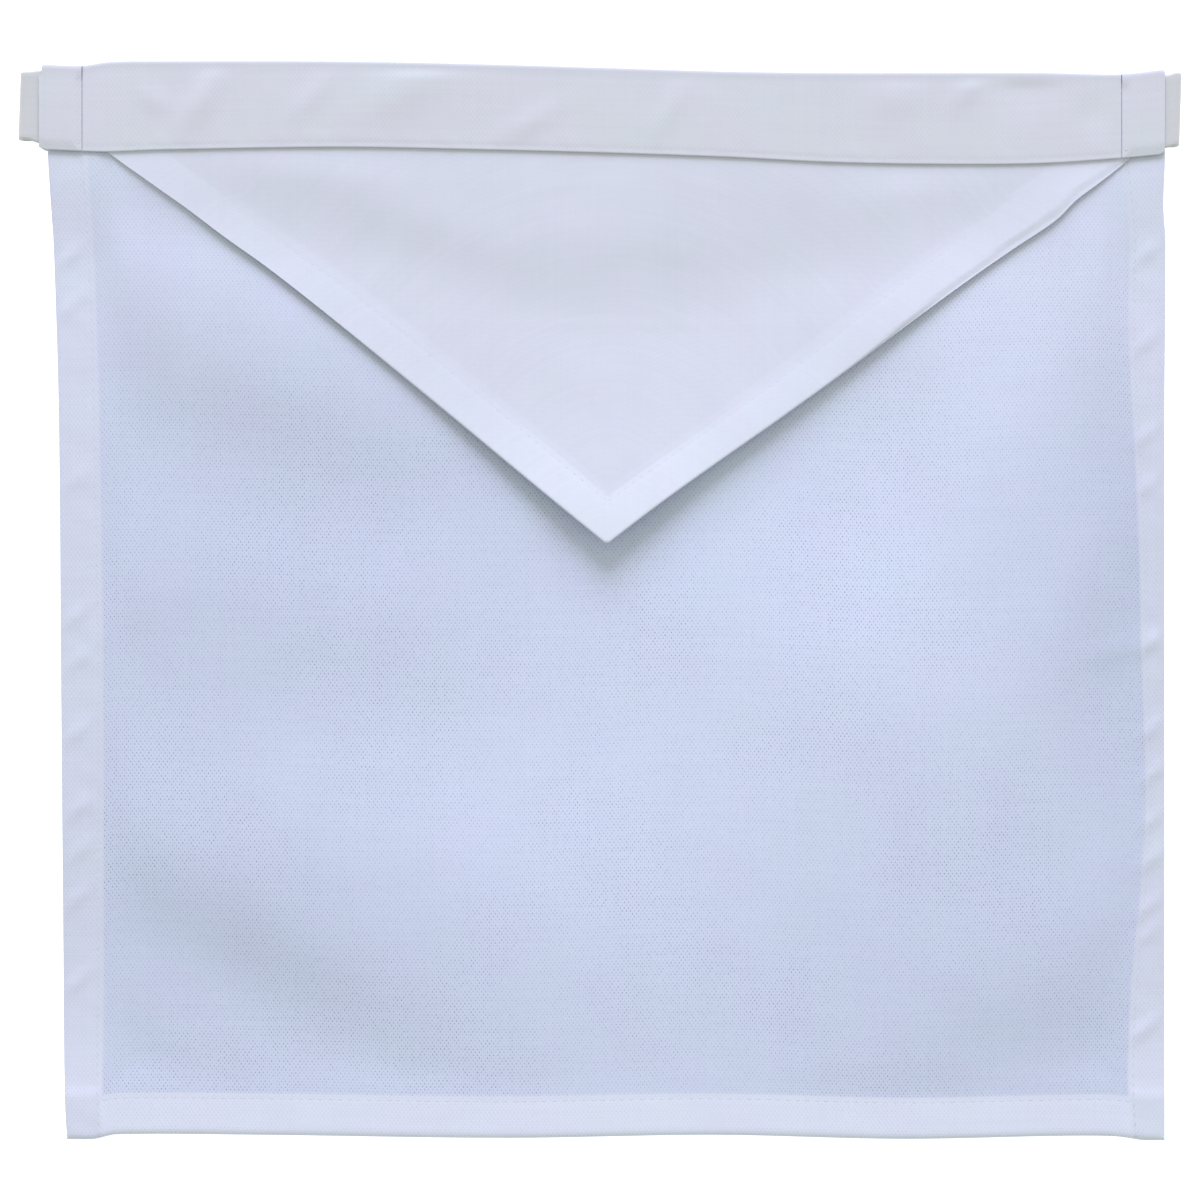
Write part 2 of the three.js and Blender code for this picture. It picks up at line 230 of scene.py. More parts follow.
@dataclass(frozen=True)
class Waist:
    """Where the waistband's edges and seams run."""

    length: float = 392.7
    height: float = 30.5
    casing: float = 15.0
    seam_gap: float = 0.03
    allowance: float = 4.0
    low_edge: Curve = Curve(
        BAND_STATIONS,
        (0.046, 0.023, 0.017, 0.04, 0.069, 0.042, 0.005, -0.044, -0.103, -0.126, -0.118, -0.057, -0.011),
    )
    top_edge: Curve = Curve(
        BAND_STATIONS,
        (0.023, 0.011, 0.055, 0.063, 0.061, 0.031, -0.011, -0.054, -0.069, -0.069, -0.069, -0.086, -0.034),
    )

    @property
    def half(self) -> float:
        """From the middle to a casing's mouth."""
        return self.length / 2.0

    @property
    def seam(self) -> float:
        """From the middle to a casing's seam."""
        return self.half - self.casing

    def share(self, x: Grid) -> Grid:
        """Share of the way from the left mouth to the right one."""
        return (np.asarray(x, float) + self.half) / self.length

    def low(self, x: Grid) -> Grid:
        """Height of the waistband's lower edge at x."""
        return self.height * self.low_edge(self.share(x))

    def top(self, x: Grid) -> Grid:
        """Height of the waistband's crease at x."""
        return self.height * (1.0 + self.top_edge(self.share(x)))


WAIST = Waist()
DROP = 344.0
FOLD_HEIGHT = 2.6


@dataclass(frozen=True)
class Swell:
    """A broad soft swell: a fold in the cloth, or a patch of painted shading that makes the cloth darker or
    lighter.

    Attributes:
        across: its middle, as a share of the waistband's length.
        down: its middle, as a share of the panel's drop.
        turn: how far it is turned from lying across, in degrees.
        length: half its length, as a share of the waistband's length.
        width: half its width, as a share of the waistband's length.
        height: its height, as a share of the unit that it is given in.
    """

    across: float
    down: float
    turn: float
    length: float
    width: float
    height: float


def swells_at(swells: Sequence[Swell], x: Grid, y: Grid, unit: float = FOLD_HEIGHT) -> Grid:
    """Adds up soft swells.

    Args:
        swells: the swells.
        x: places across the apron.
        y: places up the apron.
        unit: what a height of 1 stands for.

    Returns:
        Their height there.
    """
    total = np.zeros(np.broadcast(x, y).shape)
    for swell in swells:
        dx = x + WAIST.half - swell.across * WAIST.length
        along, beside = turned(dx, y + swell.down * DROP, swell.turn)
        ridge = bump(along, swell.length * WAIST.length) * bump(beside, swell.width * WAIST.length)
        total += unit * swell.height * ridge
    return total


@dataclass(frozen=True)
class Tuck:
    """A small slanting tuck with its steep side below and to the right.

    Attributes:
        x: the middle of its steep side.
        y: the same, upwards.
        turn: the way it runs, in degrees from +X.
        reach: half its length.
        width: half its width.
        height: its height.
    """

    x: float
    y: float
    turn: float
    reach: float
    width: float
    height: float


def tucks_at(tucks: Sequence[Tuck], x: Grid, y: Grid) -> Grid:
    """Adds up small tucks.

    Args:
        tucks: the tucks.
        x: places across, on the scale that the tucks are given in.
        y: places up, on the same scale.

    Returns:
        Their height there.
    """
    total = np.zeros(np.broadcast(x, y).shape)
    for tuck in tucks:
        along, beside = turned(x - tuck.x, y - tuck.y, tuck.turn)
        total += tuck.height * bump(along, tuck.reach) * bump(beside - 0.7 * tuck.width, tuck.width)
    return total


SIDE_STATIONS = (0.0, 0.05, 0.09, 0.26, 0.55, 0.8, 0.95, 1.0)
HEM_STATIONS = (0.0, 0.06, 0.17, 0.28, 0.4, 0.5, 0.65, 0.74, 0.83, 0.93, 1.0)


@dataclass(frozen=True)
class PanelShape:
    """The panel's outline and the way it lies."""

    drop: float = DROP
    short_left: float = 2.8
    past_right: float = 0.4
    taper: float = 6.2
    wander: float = 1.05
    side_hem: float = 14.3
    bottom_hem: float = 14.3
    ramp: float = 42.0
    rise: float = 0.85
    rise_from: tuple[float, float] = (170.0, 180.0)
    rise_to: tuple[float, float] = (178.0, 186.0)
    settle: float = 0.9
    left_edge: Curve = Curve(SIDE_STATIONS, (0.0, 0.13, 0.24, 0.52, 0.66, 0.78, 0.86, 1.0))
    right_edge: Curve = Curve(SIDE_STATIONS, (0.0, -0.06, 0.11, 0.06, 0.06, 0.06, 0.06, 0.06))
    bottom_edge: Curve = Curve(
        (0.0, 0.025, 0.045, 0.18, 0.4, 0.59, 0.76, 0.905, 0.955, 0.98, 1.0),
        (0.67, 0.6, -0.85, -0.67, 0.33, -0.67, 0.67, -0.33, -0.2, 1.0, 1.0),
    )
    left_hem: Curve = Curve(
        HEM_STATIONS,
        (0.94, 0.955, 0.965, 0.975, 1.0, 1.02, 1.0, 0.98, 0.965, 0.92, 0.9),
    )
    right_hem: Curve = Curve(
        HEM_STATIONS,
        (1.03, 0.86, 0.88, 0.73, 0.6, 0.55, 0.445, 0.56, 0.77, 0.88, 0.82),
    )
    folds: tuple[Swell, ...] = (
        Swell(0.14, 0.441, -8, 0.346, 0.073, 0.63),
        Swell(0.217, 0.786, -31, 0.221, 0.053, 0.63),
        Swell(0.879, 0.83, 25, 0.187, 0.079, 0.88),
        Swell(0.828, 0.238, -74, 0.346, 0.073, 0.72),
        Swell(0.018, 0.797, -34, 0.344, 0.045, 0.43),
        Swell(0.612, 0.28, 27, 0.284, 0.042, 0.33),
        Swell(0.083, 0.115, -24, 0.242, 0.054, 1.0),
        Swell(0.949, 0.968, -1, 0.345, 0.026, 0.3),
        Swell(0.954, 0.41, 58, 0.149, 0.057, 0.78),
        Swell(0.306, 0.76, -21, 0.302, 0.094, 0.89),
        Swell(0.939, 0.174, 60, 0.346, 0.077, 0.94),
        Swell(0.713, 0.514, -29, 0.205, 0.096, 0.65),
        Swell(0.167, 0.228, -21, 0.166, 0.049, 0.64),
    )

    def down(self, y: Grid) -> Grid:
        """Share of the way down from the waistband."""
        return np.clip(-np.asarray(y, float) / self.drop, 0.0, 1.0)

    def left(self, y: Grid) -> Grid:
        """The left edge at y."""
        return -WAIST.half + self.short_left + self.taper * self.left_edge(self.down(y))

    def right(self, y: Grid) -> Grid:
        """The right edge at y."""
        return WAIST.half + self.past_right + self.taper * self.right_edge(self.down(y))

    def bottom(self, x: Grid) -> Grid:
        """The bottom edge at x.

        Args:
            x: places across the apron.

        Returns:
            The edge's y at each place.
        """
        low = -self.drop
        share = (np.asarray(x, float) - self.left(low)) / (self.right(low) - self.left(low))
        return low - self.wander * self.bottom_edge(share)

    def hem_left(self, y: Grid) -> Grid:
        """Width of the left hem at y."""
        return self.side_hem * self.left_hem(self.down(y))

    def hem_right(self, y: Grid) -> Grid:
        """Width of the right hem at y."""
        return self.side_hem * self.right_hem(self.down(y))

    def past_hems(self, x: Grid, y: Grid) -> tuple[Grid, Grid, Grid]:
        """Distance into the single cloth from the left, the right and the bottom hem.

        Args:
            x: places across the apron.
            y: places up the apron.

        Returns:
            The three distances, each negative on its hem.
        """
        left = x - self.left(y) - self.hem_left(y)
        right = self.right(y) - x - self.hem_right(y)
        return left, right, y - self.bottom(x) - self.bottom_hem

    def lie(self, x: Grid, y: Grid) -> Grid:
        """Height of the panel's front, without its fine puckers.

        Args:
            x: places across the apron.
            y: places up the apron.

        Returns:
            The height over the table.
        """
        left, right, low = self.past_hems(x, y)
        inner = smoothstep(np.minimum(np.minimum(left, right), low), 0.0, self.side_hem)
        settled = LAYERS.hem + inner * (swells_at(self.folds, x, y) - self.settle * LAYERS.cloth)
        beside_flap = smoothstep(-x, self.rise_from[0], self.rise_to[0])
        beside_flap = beside_flap + smoothstep(x, self.rise_from[1], self.rise_to[1])
        rise = self.rise * beside_flap * smoothstep(WAIST.low(x) - y, -2.5, 0.5)
        free = smoothstep(WAIST.low(x) - y, 0.0, self.ramp)
        return mix(LAYERS.panel_top + rise, np.maximum(settled, LAYERS.cloth), free)


PANEL = PanelShape()


def hem_below_waist(x: Grid, y: Grid) -> Grid:
    """1 where a hem is at its full thickness, 0 where it has run out at the waistband."""
    return smoothstep(WAIST.low(x) - y, 1.5, 36.0)


FLAP_STATIONS = (0.0, 0.03, 0.06, 0.1, 0.15, 0.22, 0.3, 0.42, 0.54, 0.68, 0.8, 0.9, 1.0)


@dataclass(frozen=True)
class FlapShape:
    """The flap's outline and the way it lies on the panel."""

    depth: float = 135.9
    short_left: float = 8.55
    past_right: float = 2.85
    tip_shift: float = 1.6
    tip_width: float = 0.2
    hem: float = 12.6
    stitch: float = 11.5
    bow: float = 4.2
    tip_lift: float = 5.5
    cloth: float = 0.75
    clearance: float = 0.15
    second_layer: float = 0.35
    ramp: float = 12.0
    left_edge: Curve = Curve(
        FLAP_STATIONS,
        (0.05, 0.07, 0.14, 0.23, 0.43, 0.53, 0.9, 1.02, 0.89, 0.61, 0.3, 0.06, -0.12),
    )
    right_edge: Curve = Curve(
        FLAP_STATIONS,
        (-0.14, -0.14, -0.05, 0.07, -0.45, -0.19, -0.16, -0.42, -0.72, -0.58, -0.25, -0.08, -0.18),
    )
    folds: tuple[Swell, ...] = (
        Swell(0.485, 0.092, -3, 0.154, 0.046, 0.72),
        Swell(0.703, 0.171, 18, 0.095, 0.044, 0.6),
        Swell(0.327, 0.056, -25, 0.292, 0.029, 0.18),
        Swell(0.752, 0.196, 36, 0.409, 0.027, 0.3),
        Swell(0.326, 0.159, -16, 0.409, 0.044, 0.3),
        Swell(0.769, 0.037, 19, 0.058, 0.027, 0.16),
        Swell(0.495, 0.326, 3, 0.08, 0.109, 0.62),
    )

    @property
    def left_corner(self) -> float:
        """Where the left edge goes under the waistband."""
        return -WAIST.seam + self.short_left

    @property
    def right_corner(self) -> float:
        """Where the right edge goes under the waistband."""
        return WAIST.seam + self.past_right

    @property
    def left_slope(self) -> float:
        """Angle of the left edge, in radians."""
        return math.atan2(self.depth, self.tip_shift - self.left_corner)

    @property
    def right_slope(self) -> float:
        """Angle of the right edge, in radians."""
        return math.atan2(self.depth, self.right_corner - self.tip_shift)

    def left(self, down: Grid) -> Grid:
        """The left edge at a share of the depth."""
        tip = self.tip_shift - self.tip_width / 2.0
        return mix(self.left_corner, tip, down) + self.bow * self.left_edge(down)

    def right(self, down: Grid) -> Grid:
        """The right edge at a share of the depth."""
        tip = self.tip_shift + self.tip_width / 2.0
        return mix(self.right_corner, tip, down) - self.bow * self.right_edge(down)

    def lie(self, x: Grid, y: Grid) -> Grid:
        """Height of the flap's front, without its fine puckers.

        Args:
            x: places across the apron.
            y: places up the apron.

        Returns:
            The height over the table.
        """
        over = self.clearance + self.cloth * (1.0 + self.second_layer * hem_below_waist(x, y))
        at_tip = self.tip_lift * smoothstep(-y / self.depth, 0.3, 1.3)
        free = smoothstep(WAIST.low(x) - y, 0.0, self.ramp)
        return PANEL.lie(x, y) + over + free * (at_tip + swells_at(self.folds, x, y))


FLAP = FlapShape()


# Meshes


def linked(name: str, data: bpy.types.ID) -> bpy.types.Object:
    """Makes an object and links it to the scene.

    Args:
        name: the object's name.
        data: its mesh, light or camera.

    Returns:
        The object.
    """
    made = bpy.data.objects.new(name, data)
    bpy.context.scene.collection.objects.link(made)
    return made


def model_shift() -> Vector:
    """Works out where this script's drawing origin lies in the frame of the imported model.

    Returns:
        The place, in millimetres.
    """
    low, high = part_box("apron_panel")
    corner = PANEL.right(-PANEL.drop)
    bottom = float(np.min(PANEL.bottom(np.linspace(PANEL.left(-PANEL.drop), corner, 4000))))
    right = float(np.max(PANEL.right(np.linspace(-PANEL.drop, 0.0, 4000))))
    return Vector((high.x / MM - right, low.y / MM - bottom, 0.0))


SHIFT = np.array(model_shift())


def edge_share(distance: Grid, radius: float) -> Grid:
    """Share of a cloth's thickness that is left near its rounded edge."""
    inwards = np.clip(distance / radius, 0.0, 1.0)
    return np.maximum(np.sqrt(1.0 - (1.0 - inwards) ** 2), 0.12)


def arc_lengths(points: Grid) -> tuple[Grid, Grid]:
    """Measures a grid of points along its rows and its columns.

    Args:
        points: rows by columns by 3.

    Returns:
        Distance across from the middle column, and distance up from the first row.
    """
    across = np.linalg.norm(np.diff(points, axis=1), axis=2)
    across = np.pad(np.cumsum(across, axis=1), ((0, 0), (1, 0)))
    middle = points.shape[1] // 2
    across = across - across[:, middle : middle + 1] + points[:, middle : middle + 1, 0]
    up = np.linalg.norm(np.diff(points, axis=0), axis=2)
    return across, np.pad(np.cumsum(up, axis=0), ((1, 0), (0, 0)))


@dataclass
class Sheet:
    """A cloth between two grids of points: rows run up, columns to the right as its outside is seen.

    Attributes:
        name: the object's name.
        outer: rows by columns by 3, the side that faces out.
        inner: the same for the other side.
        doubled: 1 where a second layer backs the cloth, 0 where it is single.
        tone: a factor on the cloth's colour; it carries painted shade and painted light, besides changes in
            the cloth's own tone.
    """

    name: str
    outer: Grid
    inner: Grid
    doubled: Grid | None = None
    tone: Grid | None = None

    def quads(self) -> Grid:
        """Lists the mesh's faces, all turned outwards.

        Returns:
            Four corners a face.
        """
        rows, columns = self.outer.shape[:2]
        outer = np.arange(rows * columns).reshape(rows, columns)
        inner = outer + rows * columns

        def face(a: Grid, b: Grid, c: Grid, d: Grid) -> Grid:
            """Stacks four grids of corners into a list of faces."""
            return np.stack([a, b, c, d], axis=-1).reshape(-1, 4)

        return np.concatenate(
            [
                face(outer[:-1, :-1], outer[:-1, 1:], outer[1:, 1:], outer[1:, :-1]),
                face(inner[:-1, :-1], inner[1:, :-1], inner[1:, 1:], inner[:-1, 1:]),
                face(inner[0, :-1], inner[0, 1:], outer[0, 1:], outer[0, :-1]),
                face(outer[-1, :-1], outer[-1, 1:], inner[-1, 1:], inner[-1, :-1]),
                face(inner[:-1, 0], outer[:-1, 0], outer[1:, 0], inner[1:, 0]),
                face(outer[:-1, -1], inner[:-1, -1], inner[1:, -1], outer[1:, -1]),
            ]
        )

    def build(self) -> bpy.types.Object:
        """Makes the mesh, with a UV map along its threads and its two attributes.

        Returns:
            The new object, linked to the scene.
        """
        points = np.concatenate([self.outer.reshape(-1, 3), self.inner.reshape(-1, 3)])
        points = (points + SHIFT) * MM
        quads = self.quads()
        mesh = bpy.data.meshes.new(self.name)
        mesh.vertices.add(len(points))
        mesh.vertices.foreach_set("co", points.ravel())
        mesh.loops.add(quads.size)
        mesh.loops.foreach_set("vertex_index", quads.ravel().astype(np.int32))
        mesh.polygons.add(len(quads))
        mesh.polygons.foreach_set("loop_start", np.arange(0, quads.size, 4, dtype=np.int32))
        mesh.polygons.foreach_set("use_smooth", np.ones(len(quads), bool))
        mesh.update(calc_edges=True)
        across, up = arc_lengths(self.outer)
        threads = np.stack([across.ravel(), up.ravel()], axis=1) * MM
        threads = np.concatenate([threads, threads])
        uv_map = mesh.uv_layers.new(name="Threads")
        uv_map.data.foreach_set("uv", threads[quads.ravel()].ravel().astype(np.float32))
        for label, values, usual in (("doubled", self.doubled, 0.0), ("tone", self.tone, 1.0)):
            layer = mesh.attributes.new(label, "FLOAT", "POINT")
            values = np.full(self.outer.shape[:2], usual) if values is None else values
            layer.data.foreach_set("value", np.concatenate([values.ravel()] * 2).astype(np.float32))
        mesh.validate()
        return linked(self.name, mesh)


def as_points(x: Grid, y: Grid, z: Grid) -> Grid:
    """Stacks three grids into one grid of points."""
    return np.stack(np.broadcast_arrays(x, y, z), axis=-1).astype(float)


def into_band(x: Grid, y: Grid, x_band: Grid) -> tuple[Grid, Grid]:
    """Adds the rows of a cloth that run up inside the waistband."""
    y_band = mix(WAIST.low(x_band), WAIST.top(x_band) - WAIST.allowance, INTO_BAND[:, None])
    return np.concatenate([x, x_band]), np.concatenate([y, y_band])


# Node trees


@dataclass
class Nodes:
    """Adds and links the nodes of one tree."""

    tree: bpy.types.NodeTree

    def join(self, source: object, target: bpy.types.NodeSocket) -> None:
        """Links a socket, or sets a plain value, on an input.

        Args:
            source: the socket or the plain value.
            target: the input.
        """
        if isinstance(source, bpy.types.NodeSocket):
            self.tree.links.new(source, target)
        else:
            target.default_value = source

    def add(self, kind: str, feeds: dict[str | int, object], **settings: object) -> bpy.types.NodeOutputs:
        """Adds a node.

        Args:
            kind: the node's type name.
            feeds: what goes into its inputs, each a socket or a plain value.
            settings: properties to set on it.

        Returns:
            Its outputs.
        """
        node = self.tree.nodes.new(kind)
        for name, value in settings.items():
            setattr(node, name, value)
        for label, source in feeds.items():
            self.join(source, node.inputs[label])
        return node.outputs

    def math(self, operation: str, *values: object) -> bpy.types.NodeSocket:
        """Works out one value from others."""
        return self.add("ShaderNodeMath", dict(enumerate(values)), operation=operation)[0]

    def times(self, first: object, second: object) -> bpy.types.NodeSocket:
        """Multiplies two values."""
        return self.math("MULTIPLY", first, second)

    def ramp(self, value: object, low: float, high: float, start: float = 0.0, end: float = 1.0) -> object:
        """Eases from start to end while the value goes from low to high."""
        feeds = {"Value": value, "From Min": low, "From Max": high, "To Min": start, "To Max": end}
        return self.add("ShaderNodeMapRange", feeds, interpolation_type="SMOOTHSTEP")["Result"]

    def noise(self, vector: object, scale: float, detail: float = 2.0) -> bpy.types.NodeSocket:
        """Adds a Noise texture and gives its value."""
        return self.add("ShaderNodeTexNoise", {"Vector": vector, "Scale": scale, "Detail": detail})["Fac"]

    def stretched(self, vector: object, scale: tuple[float, float, float]) -> bpy.types.NodeSocket:
        """Scales a vector along each axis."""
        return self.add("ShaderNodeMapping", {"Vector": vector, "Scale": scale})["Vector"]

    def blend(self, share: object, first: object, second: object, kind: str = "MIX") -> bpy.types.NodeSocket:
        """Mixes two colours by how much of the second shows."""
        feeds = {"Factor": share, "A": first, "B": second}
        return self.add("ShaderNodeMix", feeds, data_type="RGBA", blend_type=kind)["Result"]

    def toned(self, colour: object, tone: object) -> bpy.types.NodeSocket:
        """Multiplies a colour by a value."""
        return self.blend(1.0, colour, self.grey(tone), "MULTIPLY")

    def grey(self, tone: object) -> bpy.types.NodeSocket:
        """Makes a grey from a value."""
        return self.add("ShaderNodeCombineColor", dict.fromkeys(range(3), tone))[0]

    def group(self, tree: bpy.types.NodeTree, vector: object, **sizes: float) -> bpy.types.NodeOutputs:
        """Adds a node group that reads a vector."""
        return self.add("ShaderNodeGroup", {"Vector": vector, **sizes}, node_tree=tree)

    def threads(self) -> bpy.types.NodeSocket:
        """The cloth's own UV map, which runs along its threads."""
        return self.add("ShaderNodeUVMap", {}, uv_map="Threads")[0]

    def carried(self, name: str) -> bpy.types.NodeSocket:
        """A value that the mesh carries at each point."""
        return self.add("ShaderNodeAttribute", {}, attribute_name=name)["Fac"]

    def raised(self, height: object, strength: float, distance: float) -> bpy.types.NodeSocket:
        """A normal turned by a height."""
        return self.add("ShaderNodeBump", {"Height": height, "Strength": strength, "Distance": distance})[0]

    def surface(self, values: dict[str, object]) -> None:
        """Joins sockets, or sets plain values, on the material's Principled shader."""
        for label, source in values.items():
            self.join(source, self.tree.nodes["Principled BSDF"].inputs[label])


def new_material(name: str) -> tuple[bpy.types.Material, Nodes]:
    """Starts a material and gives its nodes with it.

    Args:
        name: the material's name.

    Returns:
        The material and its nodes.
    """
    made = bpy.data.materials.new(name)
    made.use_nodes = True
    return made, Nodes(made.node_tree)


def new_group(name: str, sizes: dict[str, float], outputs: Sequence[str]) -> Nodes:
    """Starts a shader node group that reads a vector.

    Args:
        name: the group's name.
        sizes: the names of its other inputs, with their defaults.
        outputs: the names of its value outputs.

    Returns:
        The group's nodes, its input and output nodes among them.
    """
    tree = bpy.data.node_groups.new(name, "ShaderNodeTree")
    tree.interface.new_socket("Vector", in_out="INPUT", socket_type="NodeSocketVector")
    for label, default in sizes.items():
        socket = tree.interface.new_socket(label, in_out="INPUT", socket_type="NodeSocketFloat")
        socket.default_value = default
    for label in outputs:
        tree.interface.new_socket(label, in_out="OUTPUT", socket_type="NodeSocketFloat")
    nodes = Nodes(tree)
    nodes.add("NodeGroupInput", {}, name="In")
    nodes.add("NodeGroupOutput", {}, name="Out")
    return nodes


CLOSE_PITCH = 0.000714
WIDE_PITCH = 0.001015


def weave_group() -> bpy.types.NodeTree:
    """Plain weave: staggered pores between the threads, and the crowns where one thread passes over another.

    Returns:
        The node group. Its Pore output is 1 in a pore and its Relief output is 1 on a crown.
    """
    sizes = {"Across": CLOSE_PITCH, "Up": WIDE_PITCH, "Wander": 0.0002}
    nodes = new_group("Plain Weave", sizes, ("Pore", "Relief"))
    entry, leave = nodes.tree.nodes["In"].outputs, nodes.tree.nodes["Out"].inputs
    vector = entry["Vector"]
    drift = nodes.add("ShaderNodeTexNoise", {"Vector": vector, "Scale": 45.0})["Color"]
    place = nodes.add("ShaderNodeSeparateXYZ", {0: vector})
    shift = nodes.add("ShaderNodeSeparateColor", {0: drift})
    waves = []
    for axis, pitch in ((0, "Across"), (1, "Up")):
        offset = nodes.times(nodes.math("SUBTRACT", shift[axis], 0.5), entry["Wander"])
        moved = nodes.math("ADD", place[axis], nodes.times(offset, 4.0))
        waves.append(nodes.math("COSINE", nodes.times(nodes.math("DIVIDE", moved, entry[pitch]), math.pi)))
    crossing = nodes.times(*waves)
    uneven = nodes.ramp(nodes.noise(vector, 520.0, 1.0), 0.32, 0.72, 0.3, 1.15)
    slow = nodes.ramp(nodes.noise(vector, 16.0, 1.0), 0.35, 0.65, 0.6, 1.1)
    open_share = nodes.times(uneven, slow)
    nodes.join(nodes.times(nodes.ramp(crossing, 0.4, 1.0), open_share), leave["Pore"])
    nodes.join(nodes.ramp(crossing, 1.0, -1.0), leave["Relief"])
    return nodes.tree


def yarn_group() -> bpy.types.NodeTree:
    """Uneven yarn: fine streaks along both threads, and a slow mottle.

    Returns:
        The node group. Its Tone output lies around 0, and its Cast output drifts slowly from 0 to 1.
    """
    nodes = new_group("Uneven Yarn", {"Streaks": 1.0, "Mottle": 1.0}, ("Tone", "Cast"))
    entry, leave = nodes.tree.nodes["In"].outputs, nodes.tree.nodes["Out"].inputs
    vector = entry["Vector"]
    flat = nodes.noise(nodes.stretched(vector, (18.0, 620.0, 1.0)), 1.0)
    upright = nodes.noise(nodes.stretched(vector, (820.0, 14.0, 1.0)), 1.0)
    streaks = nodes.math("SUBTRACT", nodes.math("ADD", flat, nodes.times(upright, 0.6)), 0.8)
    mottle = nodes.math("SUBTRACT", nodes.noise(vector, 60.0, 4.0), 0.5)
    total = nodes.math("ADD", nodes.times(streaks, entry["Streaks"]), nodes.times(mottle, entry["Mottle"]))
    nodes.join(total, leave["Tone"])
    nodes.join(nodes.ramp(nodes.noise(vector, 34.0, 3.0), 0.38, 0.62), leave["Cast"])
    return nodes.tree


# Finishes


@dataclass(frozen=True)
class Canvas:
    """Plain-woven cotton canvas.

    Attributes:
        name: the material's name.
        colour: the cloth's colour where it is single.
        double_colour: its colour where a second layer backs it.
        pore: how dark a pore is, from 0 to 1, where the cloth is single.
        double_pore: the same where it is doubled.
        relief: strength of the thread relief.
        cast: how far the colour drifts between a green and a violet cast.
        across: distance between two threads from left to right, in metres.
        up: distance between two threads from bottom to top, in metres.
        uneven: how much the yarn's own unevenness shows.
        thread_height: how far a crown stands out, in metres.
        roughness: the yarn's roughness between the crowns.
    """

    name: str
    colour: Colour
    double_colour: Colour
    pore: float
    double_pore: float
    relief: float
    cast: float
    across: float = CLOSE_PITCH
    up: float = WIDE_PITCH
    uneven: float = 0.06
    thread_height: float = 0.00012
    roughness: float = 0.93

    def material(self, weave: bpy.types.NodeTree, yarn: bpy.types.NodeTree) -> bpy.types.Material:
        """Builds the material.

        Args:
            weave: the plain weave group.
            yarn: the uneven yarn group.

        Returns:
            The material.
        """
        made, nodes = new_material(self.name)
        threads, doubled = nodes.threads(), nodes.carried("doubled")
        cloth = nodes.group(weave, threads, Across=self.across, Up=self.up)
        fibre = nodes.group(yarn, threads)
        depth = nodes.ramp(doubled, 0.0, 1.0, self.pore, self.double_pore)
        shade = nodes.math("SUBTRACT", 1.0, nodes.times(cloth["Pore"], depth))
        tone = nodes.math("ADD", shade, nodes.times(fibre["Tone"], self.uneven))
        # The carried tone brings in painted shade and painted light.
        tone = nodes.times(tone, nodes.carried("tone"))
        green = (1.0 - self.cast, 1.0 + self.cast, 1.0 - self.cast / 2.0, 1.0)
        violet = (1.0 + self.cast, 1.0 - self.cast, 1.0 + self.cast / 2.0, 1.0)
        base = nodes.blend(doubled, (*self.colour, 1.0), (*self.double_colour, 1.0))
        base = nodes.blend(1.0, base, nodes.blend(fibre["Cast"], green, violet), "MULTIPLY")
        height = nodes.math("ADD", cloth["Relief"], nodes.times(fibre["Tone"], 0.5))
        nodes.surface(
            {
                "Base Color": nodes.toned(base, tone),
                "Roughness": nodes.math("SUBTRACT", self.roughness, nodes.times(cloth["Relief"], 0.06)),
                "Normal": nodes.raised(height, self.relief, self.thread_height),
                "Specular IOR Level": 0.25,
                "Sheen Weight": 0.08,
                "Sheen Roughness": 0.6,
            }
        )
        return made


@dataclass(frozen=True)
class Elastic:
    """Woven elastic webbing with ribs along its length."""

    colour: Colour = (0.54, 0.56, 0.6)
    rib: float = 0.0011
    across: float = 0.0005
    wander: float = 0.00005
    rib_painted_shade: float = 0.008
    pore: float = 0.03
    uneven: float = 0.08
    relief: float = 0.05
    rib_height: float = 0.00015
    roughness: float = 0.62

    def material(self, weave: bpy.types.NodeTree, yarn: bpy.types.NodeTree) -> bpy.types.Material:
        """Builds the material.

        Args:
            weave: the plain weave group.
            yarn: the uneven yarn group.

        Returns:
            The material.
        """
        made, nodes = new_material("elastic webbing")
        threads = nodes.threads()
        cloth = nodes.group(weave, threads, Across=self.across, Up=self.rib / 2.0, Wander=self.wander)
        fibre = nodes.group(yarn, threads)
        place = nodes.add("ShaderNodeSeparateXYZ", {0: threads})
        turn = nodes.times(place[1], 2.0 * math.pi / self.rib)
        rib = nodes.math("MULTIPLY_ADD", nodes.math("COSINE", turn), 0.5, 0.5)
        # Painted shade in the valleys between the ribs.
        shade = nodes.math("MULTIPLY_ADD", rib, self.rib_painted_shade, 1.0 - self.rib_painted_shade)
        shade = nodes.math("SUBTRACT", shade, nodes.times(cloth["Pore"], self.pore))
        tone = nodes.math("ADD", shade, nodes.times(fibre["Tone"], self.uneven))
        height = nodes.math("ADD", rib, nodes.times(cloth["Relief"], 0.35))
        nodes.surface(
            {
                "Base Color": nodes.toned((*self.colour, 1.0), tone),
                "Roughness": nodes.math("ADD", self.roughness, nodes.times(fibre["Tone"], 0.1)),
                "Normal": nodes.raised(height, self.relief, self.rib_height),
            }
        )
        return made


@dataclass(frozen=True)
class Thread:
    """Twisted sewing thread."""

    colour: Colour = (0.61, 0.645, 0.77)
    twist: float = 700.0

    def material(self) -> bpy.types.Material:
        """Builds the material.

        Returns:
            The material.
        """
        made, nodes = new_material("sewing thread")
        feeds = {"Vector": nodes.add("ShaderNodeTexCoord", {})["Object"], "Scale": self.twist}
        twist = nodes.add("ShaderNodeTexWave", feeds, wave_type="BANDS", bands_direction="DIAGONAL")["Fac"]
        shade = nodes.ramp(twist, 0.0, 1.0, 0.86, 1.0)
        rough = nodes.ramp(twist, 0.0, 1.0, 0.7, 0.55)
        nodes.surface({"Base Color": nodes.toned((*self.colour, 1.0), shade), "Roughness": rough})
        return made


# Stitching


